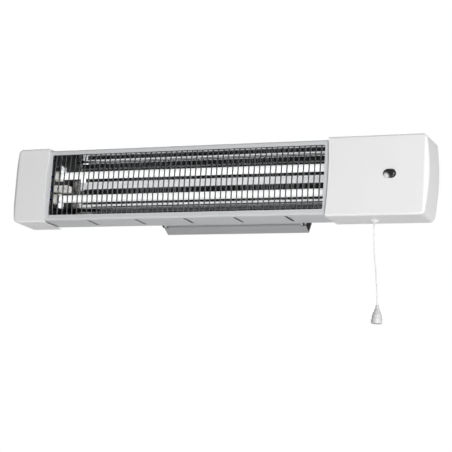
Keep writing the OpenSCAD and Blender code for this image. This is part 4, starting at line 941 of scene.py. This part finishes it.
class HEATER_OT_lens(bpy.types.Operator):
    """Moulds the indicator's smoked lens with its rim and bulging front"""
    bl_idname = "heater.lens"
    bl_label = "Mould the indicator lens"

    def execute(self, context):
        low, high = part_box("indicator_lens")
        centre = (low + high) / 2
        half_w, half_h = (high.x - low.x) / 2, (high.z - low.z) / 2
        cap_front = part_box("right_cap")[0].y
        rim, barrel, rim_flat, bulge_steps = 1.2 * MM, 2.1 * MM, 1.0 * MM, 10
        rim_y = cap_front - rim
        stations = [(barrel, high.y), (barrel, cap_front), (0.0, cap_front)]
        stations += [(inset, rim_y + behind) for inset, behind in RIM_EDGE] + [(rim_flat, rim_y)]
        reach = half_h - rim
        for k in range(1, bulge_steps + 1):
            a = math.pi / 2 * k / bulge_steps
            stations.append((rim_flat + reach * (1 - math.cos(a)), rim_y - (rim_y - low.y) * math.sin(a)))
        bm = bmesh.new()
        rings = [[bm.verts.new((centre.x + x, y, centre.z + z))
                  for x, z in round_ended(half_w - inset, half_h - inset)] for inset, y in stations]
        for a, b in zip(rings, rings[1:]):
            for k in range(len(a)):
                n = (k + 1) % len(a)
                bm.faces.new((a[k], a[n], b[n], b[k]))
        bm.faces.new(rings[0])
        bm.faces.new(rings[-1])
        bmesh.ops.recalc_face_normals(bm, faces=bm.faces[:])
        add_piece("domed_lens", bm, "smoked_lens", "heater", ("indicator_lens",))
        return {"FINISHED"}


class HEATER_OT_knob(bpy.types.Operator):
    """Turns the bell knob on the cord's end"""
    bl_idname = "heater.knob"
    bl_label = "Turn the bell knob"

    def execute(self, context):
        low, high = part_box("cord_knob")
        centre = (low + high) / 2
        tall, widest = high.z - low.z, (high.x - low.x) / 2
        outside = [(radius * MM, height * MM) for radius, height in KNOB_NECK]
        neck, neck_low = outside[-1]
        bell_tall, bell_foot, bell_steps = tall - 8.5 * MM, widest - 0.6 * MM, 16
        for k in range(1, bell_steps + 1):
            t = k / bell_steps
            swell = (1 - math.cos(math.pi * t)) / 2
            outside.append((neck + (bell_foot - neck) * swell, neck_low - bell_tall * t))
        outside += [(widest + x * MM, z * MM - tall) for x, z in KNOB_SKIRT]
        inside = [(widest + x * MM, z * MM - tall) for x, z in KNOB_HOLLOW]
        inside += [(KNOB_BORE * MM, KNOB_HOLLOW_TOP * MM - tall), (KNOB_BORE * MM, 0)]
        bm = bmesh.new()
        lathe(bm, outside + inside, Vector((centre.x, centre.y, high.z)))
        bmesh.ops.remove_doubles(bm, verts=bm.verts[:], dist=MERGE)
        bmesh.ops.recalc_face_normals(bm, faces=bm.faces[:])
        knob = add_piece("bell_knob", bm, "moulded_white", "pull", ("cord_knob",))
        # The knob gets the greyed copy of the caps' white, a painted shade
        knob.data.materials[0] = material("knob_shaded_white")
        return {"FINISHED"}


class HEATER_OT_cord(bpy.types.Operator):
    """Hangs the braided pull cord from the switch"""
    bl_idname = "heater.cord"
    bl_label = "Hang the pull cord"

    def execute(self, context):
        sizes = context.scene.heater_sizes
        rod = middle("switch_plunger")
        bush_low, bush_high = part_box("cord_bush")
        top_x = (bush_low.x + bush_high.x) / 2
        top_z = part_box("pull_cord")[1].z - CORD_ROUTE[0][1] * MM
        route = [Vector((top_x + x * MM, rod.y, top_z + z * MM)) for x, z in CORD_ROUTE]
        points = catmull(route, 4)
        bm = bmesh.new()
        tube(bm, points, sizes.cord_diameter / 2)
        cord = add_piece("braided_pull_cord", bm, "cord_white", "pull", ("pull_cord",))
        return {"FINISHED"}


class HEATER_OT_spring(bpy.types.Operator):
    """Winds the switch's return spring at its resting length"""
    bl_idname = "heater.spring"
    bl_label = "Wind the return spring"

    def execute(self, context):
        sizes = context.scene.heater_sizes
        low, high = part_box("return_spring")
        centre = (low + high) / 2
        wire = sizes.spring_wire / 2
        reach = (high.x - low.x) / 2 - wire
        bottom, tall = low.z + wire, high.z - low.z - 2 * wire
        a_turn = 20
        count = sizes.spring_turns * a_turn
        points = []
        for k in range(count + 1):
            a = 2 * math.pi * k / a_turn
            points.append(Vector((centre.x + reach * math.cos(a), centre.y + reach * math.sin(a),
                                  bottom + tall * k / count)))
        bm = bmesh.new()
        tube(bm, points, wire, sides=10, side_way=Vector((0, 0, 1)))
        bmesh.ops.recalc_face_normals(bm, faces=bm.faces[:])
        spring = add_piece("wound_return_spring", bm, "plated_steel", "heater", ("return_spring",))
        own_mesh(spring)
        return {"FINISHED"}


class HEATER_OT_stage(bpy.types.Operator):
    """Builds the floor, the studio light and the camera"""
    bl_idname = "heater.stage"
    bl_label = "Build the studio"

    def execute(self, context):
        scene = context.scene
        sizes = scene.heater_sizes
        scene.view_settings.view_transform = "Standard"
        bm = bmesh.new()
        bm.faces.new([bm.verts.new((x * FLOOR_HALF, y * FLOOR_HALF, -sizes.floor_drop))
                      for x, y in ((-1, -1), (1, -1), (1, 1), (-1, 1))])
        floor = in_scene("floor", mesh_from("floor", bm))
        floor.data.materials.append(material("floor"))
        studio_world(scene)
        for name, (place, size, power) in LAMPS.items():
            lamp(name, place, size, power)
        place_camera(scene, sizes)
        return {"FINISHED"}


def studio_world(scene):
    """A room that is dark on the side that the heater faces; the camera and clear glass see plain white."""
    world = bpy.data.worlds.new("Studio")
    scene.world = world
    world.use_nodes = True
    tree = world.node_tree
    white_side, dark_side = 0.1, -0.3
    white_room, dark_room = (0.44, 0.44, 0.44, 1), (0.008, 0.008, 0.008, 1)
    coords = placed(tree, "ShaderNodeTexCoord", {})
    split = placed(tree, "ShaderNodeSeparateXYZ", {"Vector": coords.outputs["Generated"]})
    room = between(tree, ranged(tree, split.outputs["Y"], white_side, dark_side), white_room, dark_room)
    rays = placed(tree, "ShaderNodeLightPath", {}).outputs
    seen = maths(tree, "MAXIMUM", rays["Is Camera Ray"], rays["Is Transmission Ray"])
    wired(tree, tree.nodes["Background"], {"Color": between(tree, seen, room, (1, 1, 1, 1))})


def lamp(name, place, size, power):
    """A square lamp that points at the heater's middle."""
    data = bpy.data.lights.new(name, "AREA")
    data.size = size
    data.energy = power
    light = in_scene(name, data)
    light.location = place
    light.rotation_euler = Vector(place).to_track_quat("Z", "Y").to_euler()


def place_camera(scene, sizes):
    """Below and to the right of the heater, leaning a little, as the photograph was taken."""
    a, e = sizes.camera_azimuth, sizes.camera_elevation
    back = Vector((math.sin(a) * math.cos(e), -math.cos(a) * math.cos(e), math.sin(e)))
    right = (-back).cross(Vector((0, 0, 1))).normalized()
    up = right.cross(-back)
    c, s = math.cos(sizes.camera_roll), math.sin(sizes.camera_roll)
    turned_right, turned_up = right * c + up * s, up * c - right * s
    data = bpy.data.cameras.new("Camera")
    data.lens = CAMERA_LENS
    data.sensor_width = CAMERA_SENSOR
    camera = in_scene("Camera", data)
    camera.location = CAMERA_AIM + back * sizes.camera_distance
    camera.rotation_euler = Matrix((turned_right, turned_up, back)).transposed().to_euler()
    scene.camera = camera


class HEATER_PT_panel(bpy.types.Panel):
    bl_label = "Quartz heater"
    bl_idname = "HEATER_PT_panel"
    bl_space_type = "VIEW_3D"
    bl_region_type = "UI"
    bl_category = "Heater"

    def draw(self, context):
        for step in STEPS:
            self.layout.operator(step.bl_idname)


STEPS = (HEATER_OT_finishes, HEATER_OT_caps, HEATER_OT_lens, HEATER_OT_fasteners, HEATER_OT_coils,
         HEATER_OT_knob, HEATER_OT_cord, HEATER_OT_spring, HEATER_OT_stage)
CLASSES = (HeaterSizes, HeaterColours) + STEPS + (HEATER_PT_panel,)


def register():
    for cls in CLASSES:
        bpy.utils.register_class(cls)
    bpy.types.Scene.heater_sizes = bpy.props.PointerProperty(type=HeaterSizes)
    bpy.types.Scene.heater_colours = bpy.props.PointerProperty(type=HeaterColours)


def unregister():
    del bpy.types.Scene.heater_colours
    del bpy.types.Scene.heater_sizes
    for cls in reversed(CLASSES):
        bpy.utils.unregister_class(cls)


def main():
    register()
    bpy.ops.heater.finishes()
    bpy.ops.heater.caps()
    bpy.ops.heater.lens()
    bpy.ops.heater.fasteners()
    bpy.ops.heater.coils()
    bpy.ops.heater.knob()
    bpy.ops.heater.cord()
    bpy.ops.heater.spring()
    bpy.ops.heater.stage()


if __name__ == "__main__":
    main()
